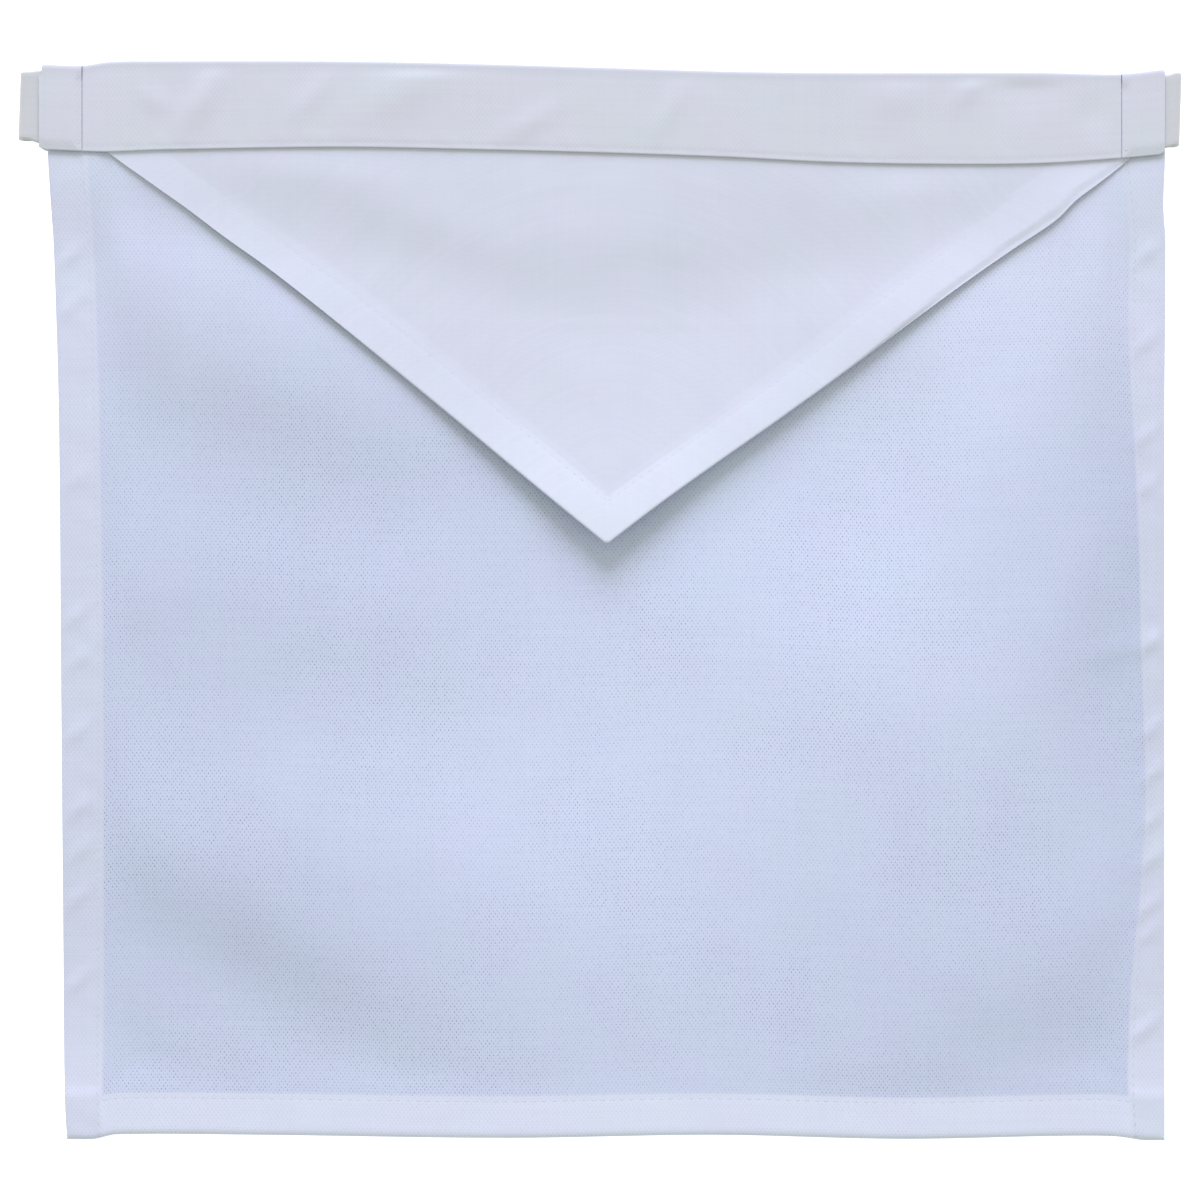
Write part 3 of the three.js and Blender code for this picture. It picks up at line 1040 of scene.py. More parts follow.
def stitch_tree() -> bpy.types.NodeTree:
    """Geometry Nodes: lays one stitch after another along every line of a mesh.

    Returns:
        The tree. Its inputs are Pitch, Length, Width, Height, Seed and Finish.
    """
    tree = bpy.data.node_groups.new("Stitch Rows", "GeometryNodeTree")
    tree.interface.new_socket("Geometry", in_out="INPUT", socket_type="NodeSocketGeometry")
    for label, default in (("Pitch", 0.0034), ("Length", 0.0027), ("Width", 0.0006), ("Height", 0.0004)):
        socket = tree.interface.new_socket(label, in_out="INPUT", socket_type="NodeSocketFloat")
        socket.default_value = default
    tree.interface.new_socket("Seed", in_out="INPUT", socket_type="NodeSocketInt")
    tree.interface.new_socket("Finish", in_out="INPUT", socket_type="NodeSocketMaterial")
    tree.interface.new_socket("Geometry", in_out="OUTPUT", socket_type="NodeSocketGeometry")
    nodes = Nodes(tree)
    entry = nodes.add("NodeGroupInput", {})
    leave = tree.nodes.new("NodeGroupOutput").inputs
    curve = nodes.add("GeometryNodeMeshToCurve", {0: entry["Geometry"]})[0]
    feeds = {"Curve": curve, "Length": entry["Pitch"]}
    even = nodes.add("GeometryNodeResampleCurve", feeds, mode="LENGTH")[0]
    ball = nodes.add("GeometryNodeMeshUVSphere", {"Segments": 8, "Rings": 6, "Radius": 0.5})["Mesh"]
    feeds = {"Vector": nodes.add("GeometryNodeInputTangent", {})[0]}
    along = nodes.add("FunctionNodeAlignRotationToVector", feeds, axis="X")[0]
    feeds = {"Min": (-0.03, -0.04, -0.05), "Max": (0.03, 0.04, 0.05), "Seed": entry["Seed"]}
    jitter = nodes.add("FunctionNodeRandomValue", feeds, data_type="FLOAT_VECTOR")["Value"]
    swung = nodes.add("FunctionNodeRotateRotation", {0: along, 1: jitter}, rotation_space="LOCAL")[0]
    size = nodes.add("ShaderNodeCombineXYZ", {0: entry["Length"], 1: entry["Width"], 2: entry["Height"]})[0]
    feeds = {"Points": even, "Instance": ball, "Rotation": swung, "Scale": size}
    laid = nodes.add("GeometryNodeInstanceOnPoints", feeds)[0]
    real = nodes.add("GeometryNodeRealizeInstances", {0: laid})[0]
    dressed = nodes.add("GeometryNodeSetMaterial", {"Geometry": real, "Material": entry["Finish"]})[0]
    nodes.join(dressed, leave[0])
    return tree


@dataclass
class Wardrobe:
    """All the apron's finishes and its stitch tree, each built once."""

    panel: bpy.types.Material
    flap: bpy.types.Material
    band: bpy.types.Material
    elastic: bpy.types.Material
    thread: bpy.types.Material
    stitches: bpy.types.NodeTree

    @classmethod
    def make(cls) -> "Wardrobe":
        """Builds the shared groups and every material.

        Returns:
            The wardrobe.
        """
        groups = weave_group(), yarn_group()
        panel = Canvas("panel canvas", (0.632, 0.7, 0.917), (0.631, 0.671, 0.831), 0.5, 0.16, 0.22, 0.008)
        flap = Canvas("flap canvas", (0.605, 0.631, 0.755), (0.63, 0.665, 0.8), 0.04, 0.02, 0.05, 0.006)
        flap = replace(flap, across=WIDE_PITCH, up=CLOSE_PITCH)
        band_colour = (0.582, 0.603, 0.688)
        band = Canvas("waistband canvas", band_colour, band_colour, 0.05, 0.05, 0.15, 0.01)
        cloths = (finish.material(*groups) for finish in (panel, flap, band, Elastic()))
        return cls(*cloths, Thread().material(), stitch_tree())


def report(piece: bpy.types.Object) -> None:
    """Logs a finished piece and its triangles."""
    piece.data.calc_loop_triangles()
    LOG.info("%s: %d triangles", piece.name, len(piece.data.loop_triangles))


@dataclass
class Stitching:
    """Rows of lockstitch on one piece.

    Attributes:
        name: the object's name.
        rows: each row's points, in millimetres, on the surface that it is sewn through.
        slot: the record's slot that it goes with; not used.
        pitch: from one stitch to the next.
        length: one stitch's length.
        width: one stitch's width.
        height: one stitch's thickness.
        seed: the fixed seed of the small turns.
    """

    name: str
    rows: list[Grid]
    slot: Slot
    pitch: float = 3.4
    length: float = 2.8
    width: float = 0.5
    height: float = 0.36
    seed: int = 1

    def guide(self) -> bpy.types.Object:
        """Makes a mesh of bare edges along the rows.

        Returns:
            The guide object.
        """
        points, edges = [], []
        for row in self.rows:
            start = len(points)
            points += [tuple(p) for p in (np.asarray(row) + SHIFT) * MM]
            edges += [(k, k + 1) for k in range(start, len(points) - 1)]
        mesh = bpy.data.meshes.new(self.name + "_guide")
        mesh.from_pydata(points, edges, [])
        return linked(self.name + "_guide", mesh)

    def build(self, wardrobe: Wardrobe) -> bpy.types.Object:
        """Sews the rows and turns the result into a plain mesh.

        Args:
            wardrobe: the finishes and the stitch tree.

        Returns:
            The stitches' object.
        """
        guide = self.guide()
        modifier = guide.modifiers.new("stitches", "NODES")
        modifier.node_group = wardrobe.stitches
        sizes = {"Pitch": self.pitch, "Length": self.length, "Width": self.width, "Height": self.height}
        values = {label: size * MM for label, size in sizes.items()}
        values |= {"Seed": self.seed, "Finish": wardrobe.thread}
        for item in wardrobe.stitches.interface.items_tree:
            if item.in_out == "INPUT" and item.name in values:
                modifier[item.identifier] = values[item.name]
        bpy.context.view_layer.update()
        depsgraph = bpy.context.evaluated_depsgraph_get()
        mesh = bpy.data.meshes.new_from_object(guide.evaluated_get(depsgraph))
        mesh.name = self.name
        guide.modifiers.remove(modifier)
        bpy.data.objects.remove(guide)
        made = linked(self.name, mesh)
        mesh.polygons.foreach_set("use_smooth", np.ones(len(mesh.polygons), bool))
        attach(made, "root")
        report(made)
        return made


# The pieces


def place(sheet: Sheet, node: str, slot: Slot, finish: bpy.types.Material) -> bpy.types.Object:
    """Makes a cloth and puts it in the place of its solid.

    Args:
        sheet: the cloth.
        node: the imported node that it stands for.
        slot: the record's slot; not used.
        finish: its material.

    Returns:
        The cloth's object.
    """
    piece = sheet.build()
    piece.data.materials.append(finish)
    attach(piece, "root")
    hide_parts(node)
    report(piece)
    return piece


def hem_tucks(places: Sequence[tuple[float, float]]) -> tuple[Tuck, ...]:
    """Tucks along the middle of a hem, from how far down each is and how strong."""
    return tuple(Tuck(0.0, -down, 45.0, 5.5, 2.3, 0.42 * strength) for down, strength in places)


@dataclass
class ApronPanel:
    """The main panel, its side and bottom hems and their stitching."""

    left_rim: float = 1.3
    right_rim: float = 3.0
    bottom_rim: float = 2.2
    column_step: float = 2.6
    row_step: float = 1.6
    furrow: float = 0.03
    stitch_inside: float = 1.4
    stitch_sink: float = 0.16
    pucker: float = 0.12
    corner_rise: float = 0.5
    # Painted shade on the two corner squares, where one hem lies over the other.
    corner_painted_shade: float = -0.06
    # How much of the patches' painted shade and painted light shows on the hems.
    hem_painted_shading_share: float = 0.35
    low_hem_tone: float = 0.11
    close_weave: float = 0.7
    left_tucks: tuple[Tuck, ...] = hem_tucks(
        [(10, 1), (37, 1), (54, 0.8), (115, 0.6), (162, 1), (178, 0.8)]
        + [(203, 1), (230, 1), (245, 0.8), (261, 1), (290, 1)]
    )
    right_tucks: tuple[Tuck, ...] = hem_tucks(
        [(7, 1), (36, 1), (67, 1), (99, 1), (117, 0.8), (172, 1.2), (202, 1)]
        + [(218, 1), (234, 0.9), (248, 1), (264, 1), (274, 0.8), (307, 1.5)]
    )
    field_tucks: tuple[Tuck, ...] = (Tuck(181.0, -176.0, 17, 14.0, 4.5, 0.3),)
    # Broad patches of painted shade (negative heights) and painted light (positive heights) on the panel's
    # colour.
    painted_shading_patches: tuple[Swell, ...] = (
        Swell(0.228, 0.5, 0, 0.494, 0.494, -0.207),
        Swell(0.998, 0.41, 0, 0.119, 0.257, -0.22),
        Swell(0.87, 0.85, 0, 0.267, 0.178, -0.144),
        Swell(0.405, 0.6, 0, 0.306, 0.178, 0.12),
        Swell(0.168, 0.77, 0, 0.208, 0.089, -0.078),
    )

    def columns(self, y: Grid) -> Grid:
        """Places across the panel for each row.

        Args:
            y: each row's height.

        Returns:
            Rows by columns of x.
        """
        left, right = PANEL.left(y), PANEL.right(y)
        in_left, in_right = left + PANEL.hem_left(y), right - PANEL.hem_right(y)
        stitch, beside = self.stitch_inside, self.stitch_inside + 0.9
        guides = [left + d for d in (0.0, 0.05, 0.2, 0.5, 0.9, self.left_rim)]
        guides += [in_left - beside, in_left - stitch, in_left, in_left + 1.0]
        guides += [in_right - 1.0, in_right, in_right + stitch, in_right + beside]
        guides += [right - d for d in (self.right_rim, 2.1, 1.3, 0.7, 0.3, 0.08, 0.0)]
        field_count = int((WAIST.length - 30.0) / self.column_step)
        return ruled(guides, [1, 1, 1, 1, 1, 8, 2, 2, 1, field_count, 1, 2, 2, 4, 1, 1, 1, 1, 1, 1])

    def rows(self) -> Grid:
        """Distances up from the bottom edge, to the waistband's lower edge.

        Returns:
            The distances, in order.
        """
        hem, stitch = PANEL.bottom_hem, PANEL.bottom_hem - self.stitch_inside
        guides = [0.0, 0.05, 0.2, 0.6, 1.2, self.bottom_rim, stitch - 0.9, stitch]
        guides += [hem, hem + 1.0, PANEL.drop]
        return ruled(guides, [1, 1, 1, 1, 1, 7, 2, 2, 1, int((PANEL.drop - hem) / self.row_step)])

    def corner_at(self, x: Grid, y: Grid) -> Grid:
        """1 on the two bottom corners, where one hem lies over the other.

        Args:
            x: places across the apron.
            y: places up the apron.

        Returns:
            The mask.
        """
        left, right, low = PANEL.past_hems(x, y)
        beside = np.maximum(smoothstep(-left, 0.0, 1.2), smoothstep(-right, 0.0, 1.2))
        return beside * smoothstep(-low, -5.0, 0.0)

    def top(self, x: Grid, y: Grid) -> Grid:
        """Height of the panel's front, its fine puckers included.

        Args:
            x: places across the apron.
            y: places up the apron.

        Returns:
            The height over the table.
        """
        left, right, low = PANEL.past_hems(x, y)
        tucks = tucks_at(self.left_tucks, left + PANEL.hem_left(y) / 2.0, y)
        tucks += tucks_at(self.right_tucks, -right - PANEL.hem_right(y) / 2.0, y)
        along = ripple(y + 0.6 * left, 13.0, 0.7) * bump(left + 5.0, 6.0)
        along += ripple(y - 0.6 * right, 14.0, 2.1) * bump(right + 4.0, 5.0)
        along += 0.7 * ripple(x + 0.4 * low, 19.0, 1.3) * bump(low + 4.0, 6.0)
        tucks += tucks_at(self.field_tucks, x, y)
        fine = (tucks + self.pucker * along) * hem_below_waist(x, y)
        return PANEL.lie(x, y) + fine + self.corner_rise * self.corner_at(x, y)

    def furrow_at(self, x: Grid, y: Grid) -> Grid:
        """Depth of the line that the stitches press into the front.

        Args:
            x: places across the apron.
            y: places up the apron.

        Returns:
            The depth.
        """
        left, right, low = PANEL.past_hems(x, y)
        sides = bump(left + self.stitch_inside, 0.7) + bump(right + self.stitch_inside, 0.7)
        inside = smoothstep(np.minimum(left, right), -1.0, 0.0)
        return self.furrow * np.clip(sides + bump(low + self.stitch_inside, 0.7) * inside, 0.0, 1.0)

    def hem_mask(self, x: Grid, y: Grid) -> Grid:
        """1 on a hem, 0 on the single cloth, with a short step between."""
        left, right, low = PANEL.past_hems(x, y)
        return smoothstep(1.0 - np.minimum(np.minimum(left, right), low), 0.0, 1.0)

    def rim_share(self, x: Grid, y: Grid) -> Grid:
        """Share of the thickness left by the rounding of the three edges.

        Args:
            x: places across the apron.
            y: places up the apron.

        Returns:
            The share, from 0 to 1.
        """
        left = edge_share(x - PANEL.left(y), self.left_rim)
        right = edge_share(PANEL.right(y) - x, self.right_rim)
        return np.minimum(np.minimum(left, right), edge_share(y - PANEL.bottom(x), self.bottom_rim))

    def sheet(self) -> Sheet:
        """Works out both faces of the cloth.

        Returns:
            The panel's sheet.
        """
        up = self.rows()
        x = self.columns(up - PANEL.drop)
        y = mix(PANEL.bottom(x), WAIST.low(x), (up / PANEL.drop)[:, None])
        x, y = into_band(x, y, self.columns(np.zeros(len(INTO_BAND))))
        hem, corner = self.hem_mask(x, y), self.corner_at(x, y)
        thickness = LAYERS.cloth * (1.0 + hem * hem_below_waist(x, y)) + self.corner_rise * corner
        middle = self.top(x, y) - thickness / 2.0
        half = thickness / 2.0 * self.rim_share(x, y)
        outer = as_points(x, y, middle + half - self.furrow_at(x, y))
        inner = as_points(x, y, middle - half)
        # The lower hems are made lighter towards the bottom, and the corner squares get painted shade.
        low_hem = hem * self.low_hem_tone * smoothstep(PANEL.down(y), 0.8, 1.0) + self.corner_painted_shade * corner
        # Painted shade and painted light from the broad patches, weaker on the hems.
        painted_shading_patches = mix(1.0, self.hem_painted_shading_share, hem) * swells_at(self.painted_shading_patches, x, y, 1.0)
        tone = np.exp(painted_shading_patches + low_hem)
        close = self.close_weave * (1.0 - smoothstep(PANEL.down(y), 0.02, 0.42))
        return Sheet("panel_cloth", outer, inner, np.maximum(hem, close), tone)

    def stitch_rows(self) -> list[Grid]:
        """Lays out the stitch lines.

        Returns:
            The lines of the left, the right and the bottom hem.
        """
        y = np.linspace(-PANEL.drop + 1.5, -3.0, 240)
        left = PANEL.left(y) + PANEL.hem_left(y) - self.stitch_inside
        right = PANEL.right(y) - PANEL.hem_right(y) + self.stitch_inside
        rows = [as_points(x, y, self.top(x, y) - self.stitch_sink) for x in (left, right)]
        x = np.linspace(left[0] + 2.5, right[0] - 2.5, 260)
        low = PANEL.bottom(x) + PANEL.bottom_hem - self.stitch_inside
        return [*rows, as_points(x, low, self.top(x, low) - self.stitch_sink)]

    def build(self, wardrobe: Wardrobe) -> None:
        """Makes the panel and its stitching.

        Args:
            wardrobe: the finishes and the stitch tree.
        """
        cloth = place(self.sheet(), "apron_panel", Slot.PANEL, wardrobe.panel)
        sewn = Stitching("panel_stitches", self.stitch_rows(), Slot.PANEL, seed=3).build(wardrobe)


@dataclass
class Flap:
    """The pointed flap, its hems and their stitching."""

    rim: float = 0.55
    pucker: float = 0.1
    pucker_pitch: float = 21.0
    pucker_seeds: tuple[float, float] = (0.4, 1.9)
    furrow: float = 0.04
    stitch_sink: float = 0.13
    field_drop: float = 0.15
    # Painted light on the flap's hem towards its lifted tip.
    tip_painted_light: float = 0.09
    crease: Tuck = Tuck(13.0, -60.0, 0.0, 60.0, 1.0, 0.07)

    def across(self, down: Grid) -> Grid:
        """Places across the flap for each row.

        Args:
            down: each row's share of the flap's depth.

        Returns:
            Rows by columns of x.
        """
        left, right = FLAP.left(down), FLAP.right(down)
        sin_left, sin_right = math.sin(FLAP.left_slope), math.sin(FLAP.right_slope)
        widest = (FLAP.hem + 3.0) / min(sin_left, sin_right)
        squeeze = np.minimum(1.0, 0.49 * (right - left) / widest)
        stitch, hem = FLAP.stitch, FLAP.hem
        steps = [0.0, 0.05, 0.2, 0.5, 1.0, stitch - 1.0, stitch, hem, hem + 0.8, hem + 3.0]
        guides = [left + squeeze * d / sin_left for d in steps]
        guides += [right - squeeze * d / sin_right for d in reversed(steps)]
        side = [1, 1, 1, 1, 8, 2, 2, 1, 2]
        return ruled(guides, [*side, 130, *reversed(side)])

    def rows(self) -> Grid:
        """Distances up from the tip, to the waistband's lower edge."""
        rise = FLAP.hem / math.cos((FLAP.left_slope + FLAP.right_slope) / 2.0)
        return ruled([0.0, 0.1, 0.4, 1.0, 2.0, rise, rise + 4.0, FLAP.depth], [1, 1, 1, 1, 12, 4, 66])

    def side_distance(self, x: Grid, y: Grid) -> tuple[Grid, Grid]:
        """Measures from both slanting edges, square to each.

        Args:
            x: places across the apron.
            y: places up the apron.

        Returns:
            The distance from the left edge and from the right one.
        """
        down = np.clip(-y / FLAP.depth, 0.0, 1.0)
        from_left = (x - FLAP.left(down)) * math.sin(FLAP.left_slope)
        from_right = (FLAP.right(down) - x) * math.sin(FLAP.right_slope)
        return from_left, from_right

    def top(self, x: Grid, y: Grid) -> Grid:
        """Height of the flap's front, its fine puckers included.

        Args:
            x: places across the apron.
            y: places up the apron.

        Returns:
            The height over the table.
        """
        fine = 0.0
        distances = self.side_distance(x, y)
        for distance, slope, seed in zip(distances, (FLAP.left_slope, FLAP.right_slope), self.pucker_seeds):
            fine += ripple(x / math.cos(slope), self.pucker_pitch, seed) * bump(distance - 8.0, 8.0)
        fine = self.pucker * fine * hem_below_waist(x, y) + tucks_at([self.crease], x, y)
        past_hem = np.minimum(*distances) - FLAP.hem
        drop = self.field_drop * smoothstep(past_hem, 0.0, 3.0) * hem_below_waist(x, y)
        return FLAP.lie(x, y) + fine - drop

    def furrow_at(self, x: Grid, y: Grid) -> Grid:
        """Depth of the line that the stitches press into the front."""
        nearest = np.minimum(*self.side_distance(x, y))
        return self.furrow * bump(nearest - FLAP.stitch, 0.8) * hem_below_waist(x, y)

    def hem_mask(self, x: Grid, y: Grid) -> Grid:
        """1 on a hem, 0 on the field."""
        nearest = np.minimum(*self.side_distance(x, y))
        return smoothstep(FLAP.hem + 0.8 - nearest, 0.0, 0.8)

    def sheet(self) -> Sheet:
        """Works out both faces of the cloth.

        Returns:
            The flap's sheet.
        """
        up = self.rows()
        share = up / FLAP.depth
        x = self.across(1.0 - share)
        y = (up - FLAP.depth)[:, None] + WAIST.low(x) * smoothstep(share, 0.4, 1.0)[:, None]
        from_tip = np.concatenate([up, FLAP.depth + INTO_BAND])[:, None]
        x, y = into_band(x, y, self.across(np.zeros(len(INTO_BAND))))
        hem = self.hem_mask(x, y)
        thickness = FLAP.cloth * (1.0 + FLAP.second_layer * hem * hem_below_waist(x, y))
        middle = self.top(x, y) - thickness / 2.0
        nearest = np.minimum(np.minimum(*self.side_distance(x, y)), from_tip)
        half = thickness / 2.0 * edge_share(nearest, self.rim)
        outer = as_points(x, y, middle + half - self.furrow_at(x, y))
        inner = as_points(x, y, middle - half)
        # Painted light: the hem is made lighter towards the lifted tip.
        tone = 1.0 + hem * self.tip_painted_light * smoothstep(-y / FLAP.depth, 0.55, 0.95)
        return Sheet("flap_cloth", outer, inner, hem, tone)

    def stitch_rows(self) -> list[Grid]:
        """Lays out the stitch lines.

        Returns:
            The lines of the left and the right hem, which meet over the tip.
        """
        rows = []
        for edge, slope, inwards in ((FLAP.left, FLAP.left_slope, 1), (FLAP.right, FLAP.right_slope, -1)):
            y = np.linspace(-4.0, -FLAP.depth + FLAP.stitch / math.cos(slope) + 0.6, 200)
            x = edge(-y / FLAP.depth) + inwards * FLAP.stitch / math.sin(slope)
            shown = y < WAIST.low(x) - 1.0
            x, y = x[shown], y[shown]
            rows.append(as_points(x, y, self.top(x, y) - self.stitch_sink))
        return rows

    def build(self, wardrobe: Wardrobe) -> None:
        """Makes the flap and its stitching.

        Args:
            wardrobe: the finishes and the stitch tree.
        """
        cloth = place(self.sheet(), "flap", Slot.FLAP, wardrobe.flap)
        rows = self.stitch_rows()
        sewn = Stitching("flap_stitches", rows, Slot.FLAP, length=2.0, width=0.36, height=0.26, seed=5)
        sewn.build(wardrobe)


@dataclass(frozen=True)
class StripStitch:
    """The stitches of the waistband and the casings, in millimetres."""

    length: float = 2.0
    width: float = 0.38
    height: float = 0.28
    sink: float = 0.1

    def sewn(self, name: str, rows: list[Grid], pitch: float, seed: int) -> Stitching:
        """Sinks the rows into the cloth and gets their stitching ready."""
        rows = [row - np.array([0.0, 0.0, self.sink]) for row in rows]
        return Stitching(name, rows, Slot.BAND, pitch, self.length, self.width, self.height, seed)


STRIP_STITCH = StripStitch()


@dataclass
class FoldedStrip:
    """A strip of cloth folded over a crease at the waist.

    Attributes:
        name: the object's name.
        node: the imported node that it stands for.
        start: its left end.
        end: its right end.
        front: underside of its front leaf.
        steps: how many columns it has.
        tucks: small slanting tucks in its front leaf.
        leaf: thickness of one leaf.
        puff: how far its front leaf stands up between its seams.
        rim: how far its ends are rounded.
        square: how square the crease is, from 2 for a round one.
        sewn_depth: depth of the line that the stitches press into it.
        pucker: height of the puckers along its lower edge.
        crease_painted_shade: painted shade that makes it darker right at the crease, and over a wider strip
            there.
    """

    name: str
    node: str
    start: float
    end: float
    front: float
    steps: int
    tucks: tuple[Tuck, ...] = ()
    leaf: float = 0.6
    puff: float = 0.08
    rim: float = 0.25
    square: float = 3.2
    sewn_depth: float = 0.05
    pucker: float = 0.1
    crease_painted_shade: tuple[float, float] = (0.16, 0.05)

    @property
    def radius(self) -> float:
        """Half the folded strip's height."""
        return (self.front + self.leaf - LAYERS.back_leaf) / 2.0

    def columns(self) -> Grid:
        """Places along the strip, closer together at its ends.

        Returns:
            The places, from left to right.
        """
        ends = [0.0, 0.04, 0.15, 0.4, 0.8]
        guides = [self.start + d for d in ends] + [self.end - d for d in reversed(ends)]
        return ruled(guides, [1, 1, 1, 1, self.steps, 1, 1, 1, 1])

    def low(self, x: Grid) -> Grid:
        """Its lower edge at x."""
        return WAIST.low(x)

    def top(self, x: Grid) -> Grid:
        """Its crease at x."""
        return WAIST.top(x)

    def relief(self, x: Grid, from_low: Grid, height: Grid) -> Grid:
        """How far the front leaf stands over its flat level.

        Args:
            x: places along the strip.
            from_low: distance up from the lower edge.
            height: the strip's height there.

        Returns:
            The extra height of the front.
        """
        share = np.clip(from_low / height, 0.0, 1.0)
        sewn = self.sewn_depth * bump(from_low - 1.6, 0.7)
        puckers = self.pucker * ripple(x + 0.5 * from_low, 11.0, 0.8) * bump(from_low - 3.0, 3.0)
        tucks = tucks_at(self.tucks, x, from_low) * smoothstep(from_low, 0.0, 3.0)
        return self.puff * np.sin(np.pi * share) ** 0.7 + puckers + tucks - sewn

    def lift(self, x: Grid, from_low: Grid) -> Grid:
        """The front leaf's relief, eased out towards the crease."""
        height = self.top(x) - self.radius - self.low(x)
        return self.relief(x, from_low, height) * smoothstep(height - from_low, 0.0, 4.0)

    def sheet(self) -> Sheet:
        """Works out both faces of the folded strip.

        Returns:
            The strip's sheet.
        """
        x = self.columns()[None, :]
        low = self.low(x)
        level = LAYERS.back_leaf + self.radius
        crease = self.top(x) - self.radius
        near = ruled([0.0, 0.03, 0.12, 0.3, 0.6, 1.0, 2.2, 3.4], [1, 1, 1, 1, 1, 3, 2])[:, None]
        leaf = np.concatenate([near + 0.0 * x, mix(3.4, crease - low, np.linspace(0, 1, 25)[1:, None])])
        turn = np.linspace(np.pi / 2, -np.pi / 2, 21)[1:-1, None] + 0.0 * x
        from_end = np.minimum(x - self.start, self.end - x)
        outer, inner = [], []
        for side in (1.0, -1.0):
            from_low = leaf if side > 0 else leaf[::-1]
            half = self.leaf / 2.0 * edge_share(np.minimum(from_low, from_end), self.rim)
            lift = self.lift(x, from_low) if side > 0 else 0.0
            middle = level + side * (self.radius - self.leaf / 2.0) + lift
            outer.append(as_points(x, low + from_low, middle + side * half))
            inner.append(as_points(x, low + from_low, middle - side * half))
        cosine, sine = np.cos(turn), np.sin(turn)
        squared = (np.abs(cosine) ** self.square + np.abs(sine) ** self.square) ** (-1.0 / self.square)
        share = edge_share(from_end, self.rim) + 0.0 * turn
        for side, grids in ((1.0, outer), (-1.0, inner)):
            radius = (self.radius - self.leaf / 2.0 + side * self.leaf / 2.0 * share) * squared
            bend = as_points(x, crease + radius * cosine, level + radius * sine)
            grids.insert(1, bend)
        outer, inner = np.concatenate(outer), np.concatenate(inner)
        over = crease + self.radius - outer[..., 1]
        # Painted shade at the crease: strong right there and faint over a wider strip.
        tone = 1.0 - self.crease_painted_shade[0] * bump(over, 1.2) - self.crease_painted_shade[1] * bump(over, 4.0)
        return Sheet(self.name, outer, inner, np.ones(outer.shape[:2]), tone)

    def surface(self, x: Grid, from_low: Grid) -> Grid:
        """Points on the front leaf.

        Args:
            x: places along the strip.
            from_low: distance up from the lower edge.

        Returns:
            The points.
        """
        return as_points(x, self.low(x) + from_low, self.front + self.leaf + self.lift(x, from_low))


@dataclass
class Waistband:
    """The waistband between its two seams, and its topstitching."""

    steps: int = 210
    stitch_up: float = 1.6
    tucks: tuple[Tuck, ...] = (
        Tuck(-137.0, 15.5, 61, 11.0, 4.6, 0.71),
        Tuck(-99.9, 14.8, 52, 10.0, 4.2, 0.45),
        Tuck(-64.9, 16.3, 31, 18.0, 8.5, 0.71),
        Tuck(-22.9, 7.9, 32, 11.0, 4.2, 0.4),
        Tuck(25.6, 13.7, 66, 10.0, 3.9, 0.43),
        Tuck(130.0, 24.5, 51, 7.5, 3.9, 0.43),
        Tuck(-152.9, 14.4, 45, 4.0, 6.4, 0.36),
        Tuck(104.4, 18.8, 10, 10.0, 6.4, 0.36),
        Tuck(150.0, 19.5, 12, 10.0, 8.5, -0.43),
        Tuck(173.0, 11.5, 20, 6.0, 6.4, -0.36),
    )

    def build(self, wardrobe: Wardrobe) -> None:
        """Makes the waistband and its topstitching.

        Args:
            wardrobe: the finishes and the stitch tree.
        """
        end = WAIST.seam - WAIST.seam_gap / 2.0
        front = LAYERS.band_front
        strip = FoldedStrip("waistband_cloth", "waistband", -end, end, front, self.steps, self.tucks)
        cloth = place(strip.sheet(), strip.node, Slot.BAND, wardrobe.band)
        x = np.linspace(strip.start + 1.0, strip.end - 1.0, 260)
        rows = [strip.surface(x, np.full_like(x, self.stitch_up))]
        sewn = STRIP_STITCH.sewn("waistband_stitches", rows, 3.0, 7).build(wardrobe)


@dataclass
class CasingStrip(FoldedStrip):
    """An end casing, whose mouth has soft corners.

    Attributes:
        mouth: where its mouth is.
        corner: how far the mouth's lower corner is drawn up.
        notch: how far its upper corner is set in.
        drawn: how far its lower edge is drawn down to the stitches.
        at_seam: how far it is drawn down at the seam.
    """

    mouth: float = 0.0
    corner: float = 0.8
    notch: float = 0.0
    drawn: float = 0.4
    at_seam: float = 0.45

    def low(self, x: Grid) -> Grid:
        """Its lower edge at x, drawn up at the mouth's corner."""
        return WAIST.low(x) + self.corner * bump(x - self.mouth, 1.1)

    def top(self, x: Grid) -> Grid:
        """Its crease at x, drawn down at the mouth's corner."""
        return WAIST.top(x) - 0.4 * self.corner * bump(x - self.mouth, 0.9)

    def relief(self, x: Grid, from_low: Grid, height: Grid) -> Grid:
        """How far the front leaf stands over its flat level, drawn down at its edge and its seam.

        Args:
            x: places along the strip.
            from_low: distance up from the lower edge.
            height: the strip's height there.

        Returns:
            The extra height of the front, negative where it is drawn down.
        """
        share = np.clip(from_low / height, 0.0, 1.0)
        rows = bump(from_low - 2.6, 0.7) + bump(np.abs(x - self.mouth) - 2.6, 0.7)
        drawn = self.drawn * (1.0 - smoothstep(from_low, 0.0, 3.4))
        at_seam = self.at_seam * (1.0 - smoothstep(np.abs(x) - WAIST.seam, 0.3, 3.6))
        puffed = self.puff * np.sin(np.pi * share) ** 0.6
        return puffed - self.sewn_depth * rows - np.maximum(drawn, at_seam)

    def sheet(self) -> Sheet:
        """Works out both faces, with the mouth's upper corner set in by the notch.

        Returns:
            The casing's sheet.
        """
        made = super().sheet()
        notch = math.copysign(self.notch, self.mouth)
        for points in (made.outer, made.inner):
            above = smoothstep(points[..., 1] - self.top(self.mouth), -3.9, -3.3)
            points[..., 0] -= notch * above * bump(points[..., 0] - self.mouth, 2.5)
        return made


